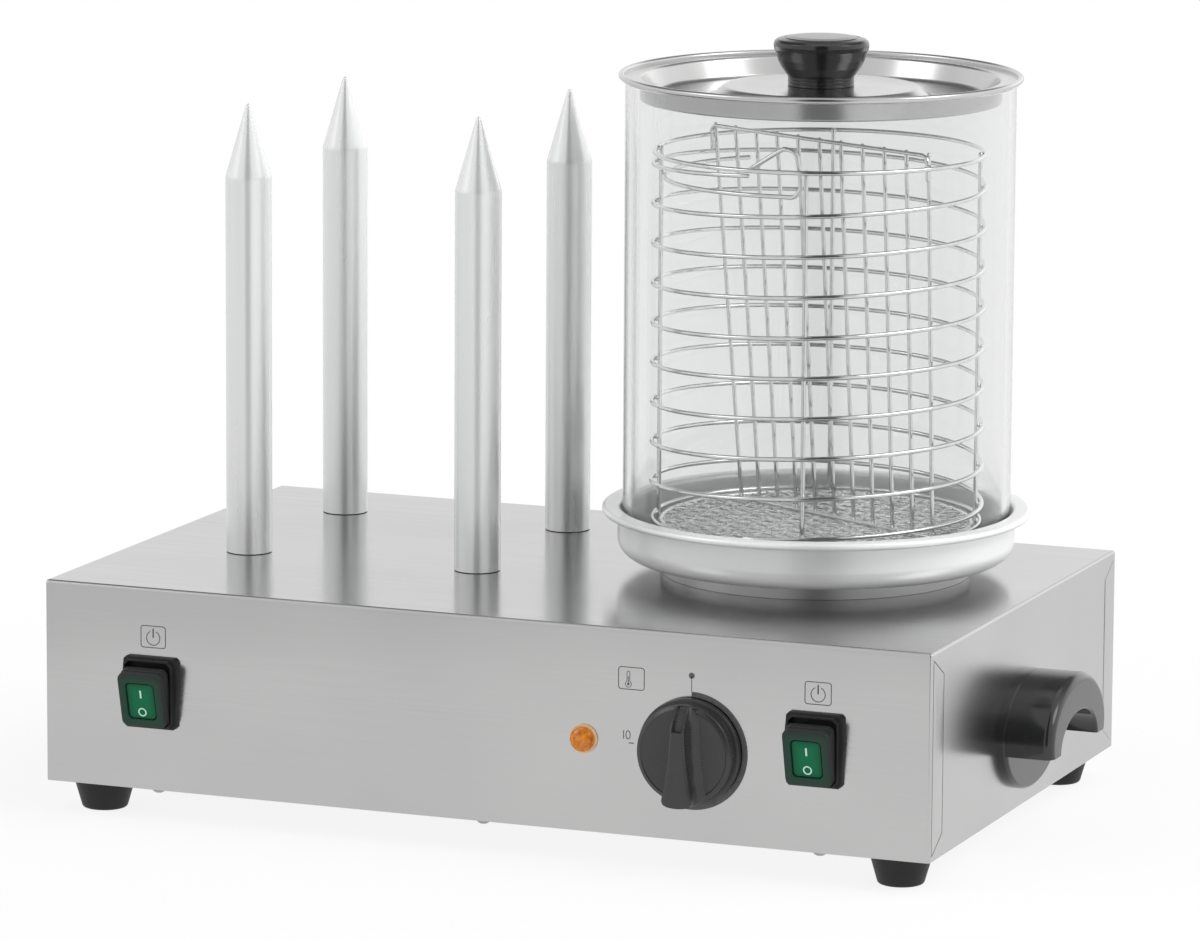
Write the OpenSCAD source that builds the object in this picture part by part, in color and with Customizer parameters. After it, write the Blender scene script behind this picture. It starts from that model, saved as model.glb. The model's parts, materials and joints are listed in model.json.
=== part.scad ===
// Countertop hot dog maker. A folded steel housing carries four heated bun spikes and a steamer:
// a heating plate, a water pan, a glass cylinder, a wire sausage basket and a lid.
// Millimetres, +Z up, the controls face -Y, the origin is on the table under the middle.

/* [Housing] */
// Width of the steel housing
body_w = 480; // [470:1:560]
// Depth of the steel housing
body_d = 295; // [292:1:340]
// Height of the steel housing
body_h = 105; // [100:1:130]
// Thickness of the housing sheet
sheet_t = 1.2; // [0.8:0.1:2]
// Outer radius of the folded edges
bend_r = 3; // [2.5:0.5:6]
// Width of the flanges turned in along the lower edge
flange_w = 14; // [10:1:18]
// Thickness of the base plate
plate_t = 1.5; // [1:0.1:3]
// Diameter of the base plate's screw heads
base_head_d = 8; // [6:0.5:9]
// Height of the base plate's screw heads
base_head_h = 3.2; // [1.5:0.1:4]
// Length of a cooling slot in the base plate
vent_l = 46; // [20:1:60]
// Width of a cooling slot in the base plate
vent_w = 4; // [3:0.5:6]

/* [Feet] */
// Height of a foot
foot_h = 16.5; // [14:0.5:30]
// Diameter of a foot at the base plate
foot_top_d = 32.5; // [26:0.5:34]
// Diameter of a foot at the table
foot_low_d = 23; // [20:0.5:30]
// Distance of a foot's axis from the side of the housing
foot_x = 22.5; // [22:0.5:40]
// Distance of a foot's axis from the front and the back of the housing
foot_y = 22.5; // [22:0.5:40]

/* [Bun spikes] */
// Diameter of a spike
spike_d = 24; // [20:0.5:28]
// Height of a spike above its seal
spike_h = 235; // [180:1:260]
// Height of the pointed end
spike_cone_h = 38; // [25:1:60]
// Distance of the outer row from the left side of the housing
spike_x = 64; // [50:1:75]
// Distance between the two rows, side to side
spike_pitch_x = 129; // [80:1:140]
// Distance of the front row from the front of the housing
spike_y = 112; // [70:1:120]
// Distance between the two rows, front to back
spike_pitch_y = 125; // [80:1:135]
// Diameter of the threaded stud under a spike
spike_stud_d = 16; // [15:0.5:18]
// Diameter of the heating cartridge in a spike
cartridge_d = 12; // [8:0.5:12.5]
// Thickness of the seal under a spike
seal_t = 0.6; // [0.4:0.1:2]

/* [Steamer] */
// Distance of the steamer's axis from the right side of the housing
steamer_x = 126; // [115:1:130]
// Distance of the steamer's axis from the back of the housing
steamer_back = 115; // [112:1:135]
// Distance from the outside of the glass in to the edge of the heating plate
hot_in = 20; // [10:1:25]
// Height of the heating plate above the housing
hot_h = 8; // [5:0.5:14]
// Diameter of the tubular heating element
element_d = 8; // [6:0.5:10]
// Gap between the glass and the wall of the water pan
pan_gap = 1; // [0.6:0.1:3]
// Width of the water pan's rim outside its wall
pan_lip = 8; // [6:0.5:9]
// Height of the water pan
pan_h = 26.5; // [22:0.5:40]
// Thickness of the water pan
pan_t = 1.5; // [1:0.1:1.6]
// Radius of the pan's lower edge
pan_edge_r = 10; // [6:0.5:14]
// Diameter of the glass cylinder
glass_d = 200; // [196:0.5:200]
// Thickness of the glass
glass_t = 4; // [3:0.5:6]
// Height of the glass cylinder
glass_h = 241; // [225:1:300]

/* [Sausage basket] */
// Gap between the basket and the glass
basket_gap = 9.5; // [7:0.5:16]
// Diameter of the basket wire
wire_d = 2.4; // [2:0.1:3]
// Height of the bottom ring above the pan's floor
basket_lift = 19; // [12:0.5:26]
// Distance from the glass edge down to the top ring
basket_below = 36.8; // [32:0.2:60]
// Number of turns of the side coil
coil_turns = 9; // [6:1:10]
// Distance between the bars of the floor mesh
mesh_pitch = 10; // [9.5:0.5:16]
// Width of a bar of the floor mesh
mesh_bar = 1.6; // [1.2:0.1:2.4]
// Number of upright wires in the divider
divider_wires = 11; // [7:1:13]
// Gap between the divider's ends and the outside of the basket
divider_gap = 10.5; // [10.5:0.5:20]
// Height of the divider above the top ring
divider_rise = 5.5; // [2:0.5:8]
// Angle of the divider to the front of the housing
divider_turn = -27; // [-40:1:-10]

/* [Lid] */
// Overhang of the lid's rim outside the glass
lid_over = 3.5; // [2.5:0.1:7]
// Gap between the lid's skirt and the glass
skirt_gap = 3.5; // [3:0.1:8]
// Depth of the lid's skirt below the glass edge
skirt_h = 8; // [5:0.5:9]
// Diameter of the raised middle where it leaves the valley
dome_low_d = 109; // [100:1:120]
// Diameter of the raised middle at its top
dome_top_d = 92; // [70:1:96]
// Height of the raised middle above the valley
dome_h = 7; // [6:0.5:14]
// Thickness of the lid's sheet
lid_t = 1; // [0.8:0.1:1.2]
// Largest diameter of the lid's knob
grip_d = 47; // [40:0.5:56]
// Diameter of the neck of the lid's knob
grip_neck_d = 33; // [24:0.5:36]
// Height of the lid's knob
grip_h = 22.5; // [20:0.5:34]

/* [Controls] */
// Distance of the switches' middle from the side of the housing
switch_x = 60; // [50:1:70]
// Height of the switches' middle above the housing's lower edge
switch_z = 52.3; // [45:0.1:60]
// Width of a switch's frame
switch_w = 30; // [27:0.5:32]
// Height of a switch's frame
switch_h = 36.5; // [35:0.5:40]
// Depth of a switch's sealing boot in front of the panel
boot_depth = 11.5; // [10:0.5:14]
// Width of the rocker
rocker_w = 14.4; // [12:0.2:15.6]
// Height of the rocker
rocker_h = 19; // [16:0.2:21]
// Angle that the rocker turns between off and on
rocker_swing = 24; // [16:1:28]
// Distance of the control knob's axis from the right side of the housing
knob_x = 125.5; // [124:0.5:135]
// Height of the control knob's axis above the housing's lower edge
knob_z = 46; // [42:1:52]
// Width of the knob's skirt outside its face
knob_lip = 1.8; // [1.2:0.1:4]
// Diameter of the knob's face
knob_d = 50.4; // [48:0.2:53]
// Distance from the panel to the knob's face
knob_face = 11.5; // [11:0.5:16]
// Height of the grip bar on the knob's face
bar_h = 9.5; // [7:0.5:14]
// Width of the grip bar at its pointing end
bar_w = 7.2; // [6:0.2:12]
// Width of the grip bar at the knob's axis
bar_waist_w = 8.8; // [7:0.2:14]
// Width of the grip bar at its broad end
bar_broad_w = 17; // [12:0.5:24]
// Diameter of the thermostat's shaft
shaft_d = 6; // [5:0.5:7]
// Distance of the pilot lamp from the right side of the housing
lamp_x = 182.8; // [176:0.2:200]
// Height of the pilot lamp above the housing's lower edge
lamp_z = 47.3; // [40:0.1:60]
// Diameter of the pilot lamp's lens
lamp_d = 15; // [13:0.2:16]

/* [Handles] */
// Width of a handle, front to back
handle_w = 90; // [80:1:110]
// Height of a handle
handle_h = 60; // [56:1:64]
// Reach of a handle from the side of the housing
handle_reach = 29; // [25:0.5:40]
// Height of a handle's middle above the housing's lower edge
handle_z = 39; // [38:1:50]
// Thickness of a handle's base plate
handle_base_t = 5; // [4:0.5:8]
// Width of the finger hollow under a handle
finger_w = 58; // [50:1:64]
// Height of the finger hollow above the ends of the handle's legs
finger_h = 18; // [14:0.5:20]
// Depth of the legs' ends below the handle's middle
leg_drop = 6; // [2:0.5:10]

/* [Cable entry] */
// Distance of the cable gland from the right side of the housing
gland_x = 280; // [200:1:300]
// Height of the cable gland above the housing's lower edge
gland_z = 32; // [28:1:45]
// Diameter of the cable gland's bore
gland_bore_d = 8.4; // [6:0.2:10]
// Reach of the cable gland behind the housing
gland_reach = 22; // [18:0.5:30]

/* [Hidden] */
$fn = 96;
steel = [0.76, 0.76, 0.75];
bright = [0.86, 0.86, 0.87];
alloy = [0.80, 0.80, 0.81];
black = [0.10, 0.10, 0.11];
clear = [0.85, 0.90, 0.92, 0.35];
zinc = [0.62, 0.62, 0.60];
cream = [0.86, 0.84, 0.76];
eps = 0.01;

// Clearance between parts that slip together
slip = 0.2;
// Clearance between a turning shaft and its bush
run = 0.05;
// Gap between wires that are welded side by side
weld = 0.15;
// Gap under the glass where it stands on the pan
glass_seat = 0.3;

// Places of the main parts
knob_reach = knob_face + bar_h;
front_y = knob_reach - (body_d + knob_reach + gland_reach) / 2;
back_y = front_y + body_d;
mid_y = (front_y + back_y) / 2;
floor_z = foot_h;
top_z = floor_z + body_h;
under_z = top_z - sheet_t;
inner_w = body_w - 2 * sheet_t;
inner_d = body_d - 2 * sheet_t;
steamer_at = [body_w / 2 - steamer_x, back_y - steamer_back, top_z];
feet_at = [for (sx = [-1, 1], sy = [-1, 1]) [sx * (body_w / 2 - foot_x), mid_y + sy * (body_d / 2 - foot_y)]];
spikes_at = [for (ix = [0, 1], iy = [0, 1])
    [-body_w / 2 + spike_x + ix * spike_pitch_x, front_y + spike_y + iy * spike_pitch_y]];

// Base plate screws, set in from the lower edge, rows of cooling slots and the screws of the feet
base_screw_in = sheet_t + flange_w / 2;
base_screw_x = 60;
base_shank_d = 4;
base_shank_l = 8;
base_screws_at = concat(
    [for (s = [-1, 1], i = [-1:1]) [i * (body_w / 2 - base_screw_x), mid_y + s * (body_d / 2 - base_screw_in)]],
    [for (s = [-1, 1]) [s * (body_w / 2 - base_screw_in), mid_y]]);
vent_rows = 7;
vent_pitch = 12;
vent_banks = 4;
vent_bank_pitch = 95;
foot_screw_d = 5;
foot_screw_head_d = 10;
foot_screw_head_h = 3;
foot_pocket_d = 12;
foot_pocket_h = 6;
foot_nut_d = 9.2;
foot_nut_h = 4;
foot_edge = 2;

// Studs, nuts and cartridges of the spikes
spike_r = spike_d / 2;
stud_r = spike_stud_d / 2;
stud_l = 22;
spike_tip_r = 0.7;
cartridge_l = 150;
cartridge_tail = 8;
lead_d = 2;
lead_l = 12;
washer_t = 1.5;
washer_d = spike_stud_d + 14;
spike_nut_d = spike_stud_d + 11.7;
spike_nut_h = 8;

// Heating plate, element and shield under the housing's top
hot_r = glass_d / 2 - hot_in;
hot_neck_in = 12;
hot_neck_r = hot_r - hot_neck_in;
hot_under = 5;
hot_edge = 1;
hot_stud_d = 8;
element_r = element_d / 2;
element_in = 18;
element_ring_r = hot_neck_r - element_in;
element_open = 40;
element_leg = 24;
element_room = 2.5;
element_rings = 30;
element_sides = 10;
element_z = -sheet_t - hot_under - element_r - slip;
shield_t = 1;
shield_floor_z = element_z - element_r - slip;
shield_r = hot_neck_r + 8;
shield_lip = 10;
shield_nut_d = 15;
shield_nut_h = 6.5;
sensor_d = 6;
sensor_l = 56;
sensor_y = 25;
capillary_d = 2;
capillary_x = sensor_l / 2 + 5;
sensor_z = -sheet_t - hot_under - sensor_d / 2 - slip;

// Thermostat behind the knob
thermo_w = 36;
thermo_h = 38;
thermo_d = 26;
bush_d = 10;
bush_l = 2;
thermo_screw_gap = 28;
thermo_screw_d = 4;
thermo_head_d = 7;
thermo_head_h = 2.2;
thermo_screw_l = 9;
knob_gap = 1;
knob_skirt_t = 3;
knob_hollow_d = 42;
knob_hollow = 9;
knob_boss_d = 14;
knob_boss_gap = 4;
shaft_in = 18;
shaft_out = knob_face - 4;
notch_w = 4.5;
notch_l = 8;
notch_h = 3;
pointer_end = 0.3;

// Pilot lamp
lamp_flange_t = 1;
lamp_dome_h = 4;
lamp_rim = 1.8;
lamp_neck_d = 10;
lamp_body_l = 30;
lamp_blade_w = 4.8;

// Switches
frame_t = 3.4;
step_in = 1.6;
step_depth = 7.6;
boot_in = 2.8;
rocker_side = 0.3;
rocker_pivot_z = 3;
rocker_dip = 0.8;
rocker_sink = 1;
rocker_tip = rocker_swing / 2;
rocker_front_z = boot_depth - rocker_sink;
// Room at the rocker's ends and behind it for its swing
rocker_end = rocker_h / 2 * (cos(rocker_tip) - 1)
    + (rocker_front_z - rocker_pivot_z) * sin(rocker_tip) + rocker_side;
rocker_back_z = rocker_pivot_z
    + (rocker_side - rocker_pivot_z + rocker_h / 2 * sin(rocker_tip)) / cos(rocker_tip);
pivot_d = 2.4;
pivot_l = 1.6;
switch_body_w = 21.6;
switch_body_h = 28.2;
switch_body_l = 24;
blade_w = 6.3;
blade_t = 0.8;
blade_l = 8;
blade_pitch = 9;

// Handles and their screws
leg_z = -leg_drop;
handle_screw_d = 4;
handle_screw_in = 14;
handle_head_d = 8;
handle_head_h = 2.6;
handle_screw_y = (finger_w + handle_w) / 4;
handle_screw_z = 4;

// Cable gland
gland_thread_d = 20;
gland_hex_d = 27;
gland_hex_t = 6;
gland_cap_d = 23;
gland_nut_t = 5;
gland_in = 12;

// Terminal block on the base plate behind the gland
block_w = 62;
block_d = 22;
block_h = 20;
block_gap = 40;
poles = 5;
pole_pitch = 11;
pole_screw_d = 5;
pole_screw_h = 1.6;

// Levels of the steamer above the housing's top
pan_floor = hot_h + pan_t;
pan_rim_z = hot_h + pan_h;
glass_r = glass_d / 2;
pan_r = glass_r + pan_gap + pan_t;
pan_rim_r = pan_r + pan_lip;
pan_bead_r = 2;
// The glass stands on the curve of the pan's lower edge
pan_curve_in = max(glass_r - pan_r + pan_edge_r, 0);
glass_low = hot_h + pan_edge_r - sqrt(pow(pan_edge_r - pan_t, 2) - pow(pan_curve_in, 2)) + glass_seat;
glass_top = glass_low + glass_h;

// Basket wires
wire_r = wire_d / 2;
coil_r = glass_r - glass_t - basket_gap - wire_r;
ring_low_z = pan_floor + basket_lift;
ring_top_z = glass_top - basket_below;
coil_top = ring_top_z - wire_d - weld;
coil_low = ring_low_z + wire_d + weld;
coil_start = -95;
coil_rings = 24;
wire_sides = 6;
// The straight steps of the coil come this near to its axis, and the rings and uprights follow them
ring_r = coil_r * cos(180 / coil_rings);
upright_r = ring_r - wire_d - weld;
uprights_turn = 15;
mesh_t = 1.6;
mesh_z = ring_low_z - wire_d;
mesh_r = upright_r - wire_r - weld;
divider_low = mesh_z + mesh_t + wire_r + weld;
divider_top = ring_top_z + divider_rise;
divider_wire_r = 1.1;
divider_lap = 0.2;
divider_hook = 12;
divider_l = 2 * (coil_r + wire_r - divider_gap);
// The lifting loop: an arc inside the coil, raised to a peak over the top ring
loop_r = upright_r - wire_d - weld;
loop_drop = 13;
loop_rise = 11;
loop_z = ring_top_z - loop_drop;
loop_peak = ring_top_z + loop_rise;
loop_from = 138;
loop_to = 271;
loop_end = 253;
loop_steps = 14;
loop_lead = 0.6;
loop_bend = 3;
loop_neck = 4;
loop_crest = 1;
loop_fall = 2;

// Lid profile heights above the glass edge
lid_bead_r = 1.6;
lid_r = glass_r + lid_over;
skirt_r = glass_r - glass_t - skirt_gap;
valley_r = skirt_r - 6;
dome_top = dome_h - skirt_h;
grip_screw_d = 5;
grip_screw_l = 14;
grip_head_d = 9;
grip_head_h = 2.6;

// Sweep of a round wire along points
function unit(v) = v / norm(v);
function along(p, i) = unit(p[min(i + 1, len(p) - 1)] - p[max(i - 1, 0)]);
function carry(n, t) = unit(n - t * (n * t));
function sides_of(p, n, i = 0, done = []) = i == len(p) ? done
    : let (m = carry(i == 0 ? n : done[i - 1], along(p, i))) sides_of(p, n, i + 1, concat(done, [m]));
function wire_rings(p, r, k, n) = let (m = sides_of(p, n))
    [for (i = [0:len(p) - 1], j = [0:k - 1]) let (b = cross(along(p, i), m[i]), a = 360 * j / k)
        p[i] + r * (cos(a) * m[i] + sin(a) * b)];
function wire_faces(c, k) = concat(
    [for (i = [0:c - 2], j = [0:k - 1]) let (h = (j + 1) % k) [i * k + j, (i + 1) * k + j, i * k + h]],
    [for (i = [0:c - 2], j = [0:k - 1]) let (h = (j + 1) % k) [i * k + h, (i + 1) * k + j, (i + 1) * k + h]],
    [for (j = [1:k - 2]) [0, j, j + 1]],
    [for (j = [1:k - 2]) let (e = (c - 1) * k) [e, e + j + 1, e + j]]);
function arc(cx, cy, r, from, to, steps) =
    [for (i = [0:steps]) let (a = from + (to - from) * i / steps) [cx + r * cos(a), cy + r * sin(a)]];

module wire(points, r, sides, normal) {
    polyhedron(wire_rings(points, r, sides, normal), wire_faces(len(points), sides));
}

// Places on the housing: local Z points out of the face, local Y up, except on the top
module on_front(x, z) {
    translate([x, front_y, floor_z + z]) rotate([90, 0, 0]) children();
}
module on_back(x, z) {
    translate([x, back_y, floor_z + z]) rotate([90, 0, 180]) children();
}
module on_side(z) {
    translate([body_w / 2, mid_y, floor_z + z]) rotate([90, 0, 90]) children();
}
module on_steamer(z = 0) {
    translate(steamer_at + [0, 0, z]) children();
}

// Common fasteners
module dome(r, h) {
    ball_r = (r * r + h * h) / (2 * h);
    intersection() {
        translate([0, 0, h - ball_r]) sphere(ball_r);
        cylinder(r = r, h = h);
    }
}
module screw(head_d, head_h, d, l) {
    dome(head_d / 2, head_h);
    translate([0, 0, -l]) cylinder(d = d, h = l + eps);
}
module hex_nut(d, hole_d, h) {
    difference() {
        cylinder(d = d, h = h, $fn = 6);
        translate([0, 0, -1]) cylinder(d = hole_d, h = h + 2);
    }
}
module ring(outer_d, hole_d, h) {
    difference() {
        cylinder(d = outer_d, h = h);
        translate([0, 0, -1]) cylinder(d = hole_d, h = h + 2);
    }
}

// Housing
module round_top(w, h, r) {
    translate([-w / 2, 0]) square([w, h - r]);
    translate([r - w / 2, h - r - eps]) square([w - 2 * r, r + eps]);
    for (s = [-1, 1]) translate([s * (w / 2 - r), h - r]) circle(r);
}
module folded_block(inset, r) {
    w = body_w - 2 * inset;
    d = body_d - 2 * inset;
    h = body_h - inset;
    intersection() {
        translate([0, mid_y + d / 2, floor_z]) rotate([90, 0, 0]) linear_extrude(d) round_top(w, h, r);
        translate([-w / 2, mid_y, floor_z]) rotate([90, 0, 90]) linear_extrude(w) round_top(d, h, r);
    }
}
module flange() {
    translate([-inner_w / 2 - sheet_t / 2, mid_y - inner_d / 2 - sheet_t / 2, floor_z + plate_t])
        difference() {
            cube([inner_w + sheet_t, inner_d + sheet_t, sheet_t]);
            translate([flange_w + sheet_t / 2, flange_w + sheet_t / 2, -1])
                cube([inner_w - 2 * flange_w, inner_d - 2 * flange_w, sheet_t + 2]);
        }
}
module front_holes() {
    for (s = [-1, 1]) on_front(s * (body_w / 2 - switch_x), switch_z)
        translate([-switch_body_w / 2 - slip, -switch_body_h / 2 - slip, -2 * sheet_t])
            cube([switch_body_w + 2 * slip, switch_body_h + 2 * slip, 4 * sheet_t]);
    on_front(body_w / 2 - knob_x, knob_z) {
        translate([0, 0, -2 * sheet_t]) cylinder(d = bush_d + 2 * slip, h = 4 * sheet_t);
        for (s = [-1, 1]) translate([s * thermo_screw_gap / 2, 0, -2 * sheet_t])
            cylinder(d = thermo_screw_d + 2 * slip, h = 4 * sheet_t);
    }
    on_front(body_w / 2 - lamp_x, lamp_z)
        translate([0, 0, -2 * sheet_t]) cylinder(d = lamp_neck_d + 2 * slip, h = 4 * sheet_t);
}
module handle_screw_places() {
    for (s = [-1, 1]) translate([s * handle_screw_y, handle_screw_z, 0]) children();
}
module housing_shell() {
    color(steel) difference() {
        union() {
            difference() {
                folded_block(0, bend_r);
                folded_block(sheet_t, bend_r - sheet_t);
                translate([-inner_w / 2, mid_y - inner_d / 2, floor_z - 1]) cube([inner_w, inner_d, 2]);
            }
            flange();
        }
        front_holes();
        for (p = spikes_at) translate([p[0], p[1], under_z - 1])
            cylinder(d = spike_stud_d + 2 * slip, h = sheet_t + 2);
        on_steamer(-sheet_t - 1) cylinder(r = hot_neck_r + slip, h = sheet_t + 2);
        for (m = [0, 1]) mirror([m, 0, 0]) on_side(handle_z) handle_screw_places()
            translate([0, 0, -2 * sheet_t]) cylinder(d = handle_screw_d + 2 * slip, h = 4 * sheet_t);
        on_back(body_w / 2 - gland_x, gland_z)
            translate([0, 0, -2 * sheet_t]) cylinder(d = gland_thread_d + 2 * slip, h = 4 * sheet_t);
        for (p = base_screws_at) translate([p[0], p[1], floor_z])
            cylinder(d = base_shank_d + 2 * slip, h = plate_t + sheet_t + 1);
    }
}

// Base plate and its screws
module vent() {
    translate([-vent_l / 2, -vent_w / 2, 0]) cube([vent_l, vent_w, plate_t + 2]);
    for (s = [-1, 1]) translate([s * vent_l / 2, 0, 0]) cylinder(d = vent_w, h = plate_t + 2);
}
module base_plate() {
    color(steel) difference() {
        translate([slip - inner_w / 2, mid_y + slip - inner_d / 2, floor_z])
            cube([inner_w - 2 * slip, inner_d - 2 * slip, plate_t]);
        for (b = [0:vent_banks - 1], i = [0:vent_rows - 1])
            translate([(b - (vent_banks - 1) / 2) * vent_bank_pitch,
                mid_y + (i - (vent_rows - 1) / 2) * vent_pitch, floor_z - 1]) vent();
        for (p = base_screws_at) translate([p[0], p[1], floor_z - 1])
            cylinder(d = base_shank_d + 2 * slip, h = plate_t + 2);
        for (p = feet_at) translate([p[0], p[1], floor_z - 1])
            cylinder(d = foot_screw_d + 2 * slip, h = plate_t + 2);
    }
}
module base_screws() {
    color(zinc) for (p = base_screws_at) translate([p[0], p[1], floor_z])
        rotate([180, 0, 0]) screw(base_head_d, base_head_h, base_shank_d, base_shank_l);
}

// Feet
module foot(i) {
    low_r = foot_low_d / 2;
    color(black) translate([feet_at[i][0], feet_at[i][1], 0]) rotate_extrude()
        polygon(concat([[foot_pocket_d / 2, 0]], arc(low_r - foot_edge, foot_edge, foot_edge, -90, 0, 4),
            [[foot_top_d / 2, foot_h], [foot_screw_d / 2 + slip, foot_h],
             [foot_screw_d / 2 + slip, foot_pocket_h], [foot_pocket_d / 2, foot_pocket_h]]));
}
module foot_front_left() { foot(0); }
module foot_front_right() { foot(2); }
module foot_back_left() { foot(1); }
module foot_back_right() { foot(3); }
module foot_screws() {
    l = foot_h - foot_pocket_h + plate_t + foot_nut_h + 1;
    color(zinc) for (p = feet_at) translate([p[0], p[1], foot_pocket_h])
        rotate([180, 0, 0]) screw(foot_screw_head_d, foot_screw_head_h, foot_screw_d, l);
}
module foot_nuts() {
    color(zinc) for (p = feet_at) translate([p[0], p[1], floor_z + plate_t])
        hex_nut(foot_nut_d, foot_screw_d + slip, foot_nut_h);
}

// Handles: an oval plate whose upper part reaches out as a hood with a finger hollow
module oval(w, h) {
    polygon([for (a = [0:6:354]) [w / 2 * cos(a), h / 2 * sin(a)]]);
}
module handle() {
    color(black) difference() {
        union() {
            linear_extrude(handle_base_t) oval(handle_w, handle_h);
            linear_extrude(handle_reach) intersection() {
                oval(handle_w, handle_h);
                translate([-handle_w, leg_z]) square([2 * handle_w, handle_h]);
            }
        }
        translate([0, leg_z, handle_base_t]) linear_extrude(handle_reach) oval(finger_w, 2 * finger_h);
        handle_screw_places() translate([0, 0, -1])
            cylinder(d = handle_screw_d + slip, h = handle_screw_in + 2);
    }
}
module handle_right() { on_side(handle_z) handle(); }
module handle_left() { mirror([1, 0, 0]) on_side(handle_z) handle(); }
module handle_screws() {
    l = sheet_t + handle_screw_in;
    color(zinc) for (m = [0, 1]) mirror([m, 0, 0]) on_side(handle_z) handle_screw_places()
        translate([0, 0, -sheet_t]) rotate([180, 0, 0]) screw(handle_head_d, handle_head_h, handle_screw_d, l);
}

// Cable gland at the back
module cable_gland() {
    color(black) on_back(body_w / 2 - gland_x, gland_z) difference() {
        union() {
            translate([0, 0, -gland_in]) cylinder(d = gland_thread_d, h = gland_in + 1);
            cylinder(d = gland_hex_d, h = gland_hex_t, $fn = 6);
            translate([0, 0, gland_hex_t - eps]) cylinder(d = gland_cap_d, h = gland_reach - 2 - gland_hex_t);
            translate([0, 0, gland_reach - 2 - 2 * eps])
                cylinder(d1 = gland_cap_d, d2 = gland_cap_d - 4, h = 2 + 2 * eps);
        }
        translate([0, 0, -gland_in - 1]) cylinder(d = gland_bore_d, h = gland_in + gland_reach + 2);
    }
}
module gland_nut() {
    color(black) on_back(body_w / 2 - gland_x, gland_z)
        translate([0, 0, -sheet_t - gland_nut_t]) hex_nut(gland_hex_d, gland_thread_d + slip, gland_nut_t);
}

// Bun spikes, turned in one piece with a hollow for the cartridge
module spike(i) {
    hollow_r = cartridge_d / 2 + slip / 2;
    hollow_top = cartridge_l;
    color(alloy) translate([spikes_at[i][0], spikes_at[i][1], top_z + seal_t]) rotate_extrude()
        polygon([[hollow_r, -stud_l], [stud_r, -stud_l], [stud_r, 0], [spike_r, 0],
            [spike_r, spike_h - spike_cone_h], [spike_tip_r, spike_h - spike_tip_r], [0, spike_h],
            [0, hollow_top], [hollow_r, hollow_top]]);
}
module cartridge(i) {
    color(zinc) translate([spikes_at[i][0], spikes_at[i][1], top_z + seal_t]) {
        translate([0, 0, -stud_l - cartridge_tail])
            cylinder(d = cartridge_d, h = stud_l + cartridge_tail + cartridge_l - slip);
        for (s = [-1, 1]) translate([s * cartridge_d / 4, 0, -stud_l - cartridge_tail - lead_l])
            cylinder(d = lead_d, h = lead_l + eps);
    }
}
module spike_front_left() { spike(0); }
module spike_back_left() { spike(1); }
module spike_front_right() { spike(2); }
module spike_back_right() { spike(3); }
module cartridge_front_left() { cartridge(0); }
module cartridge_back_left() { cartridge(1); }
module cartridge_front_right() { cartridge(2); }
module cartridge_back_right() { cartridge(3); }
module spike_seals() {
    color(black) for (p = spikes_at) translate([p[0], p[1], top_z])
        ring(spike_d + 0.6, spike_stud_d + 2 * slip, seal_t);
}
module spike_washers() {
    color(zinc) for (p = spikes_at) translate([p[0], p[1], under_z - washer_t])
        ring(washer_d, spike_stud_d + 2 * slip, washer_t);
}
module spike_nuts() {
    color(zinc) for (p = spikes_at) translate([p[0], p[1], under_z - washer_t - spike_nut_h])
        hex_nut(spike_nut_d, spike_stud_d + slip, spike_nut_h);
}

// Heating plate with its element, shield and nut
module heating_plate() {
    low = -sheet_t - hot_under;
    color(bright) on_steamer() {
        rotate_extrude() polygon([[0, low], [hot_neck_r, low], [hot_neck_r, 0], [hot_r, 0],
            [hot_r, hot_h - hot_edge], [hot_r - hot_edge, hot_h], [0, hot_h]]);
        translate([0, 0, shield_floor_z - shield_t - shield_nut_h - 2])
            cylinder(d = hot_stud_d, h = low - (shield_floor_z - shield_t - shield_nut_h - 2) + 1);
    }
}
module element_legs() {
    for (a = [0, 360 - element_open]) rotate(a) translate([element_ring_r, 0, 0]) children();
}
function element_point(a, z) = [element_ring_r * cos(a), element_ring_r * sin(a), z];
module heating_element() {
    last = 360 - element_open;
    lean = element_d / element_ring_r * 180 / PI;
    part_lean = lean * (1 - cos(45));
    part_drop = element_d * (cos(45) - 1);
    points = concat(
        [element_point(0, -element_leg), element_point(0, -element_d), element_point(part_lean, part_drop)],
        [for (i = [0:element_rings]) element_point(lean + (last - 2 * lean) * i / element_rings, 0)],
        [element_point(last - part_lean, part_drop), element_point(last, -element_d),
         element_point(last, -element_leg)]);
    color(zinc) on_steamer(element_z) wire(points, element_r, element_sides, [1, 0, 0]);
}
module heat_shield() {
    low = shield_floor_z - shield_t;
    color(steel) on_steamer() difference() {
        rotate_extrude() polygon([[0, low], [shield_r, low], [shield_r, -sheet_t - shield_t],
            [shield_r + shield_lip, -sheet_t - shield_t], [shield_r + shield_lip, -sheet_t],
            [shield_r - shield_t, -sheet_t], [shield_r - shield_t, low + shield_t], [0, low + shield_t]]);
        translate([0, 0, low - 1]) {
            cylinder(d = hot_stud_d + 2 * slip, h = shield_t + 2);
            element_legs() cylinder(d = element_d + 2 * element_room, h = shield_t + 2);
            translate([capillary_x, sensor_y, 0]) cylinder(d = capillary_d + 3, h = shield_t + 2);
        }
    }
}
module shield_nut() {
    color(zinc) on_steamer(shield_floor_z - shield_t - shield_nut_h)
        hex_nut(shield_nut_d, hot_stud_d + slip, shield_nut_h);
}

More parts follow.
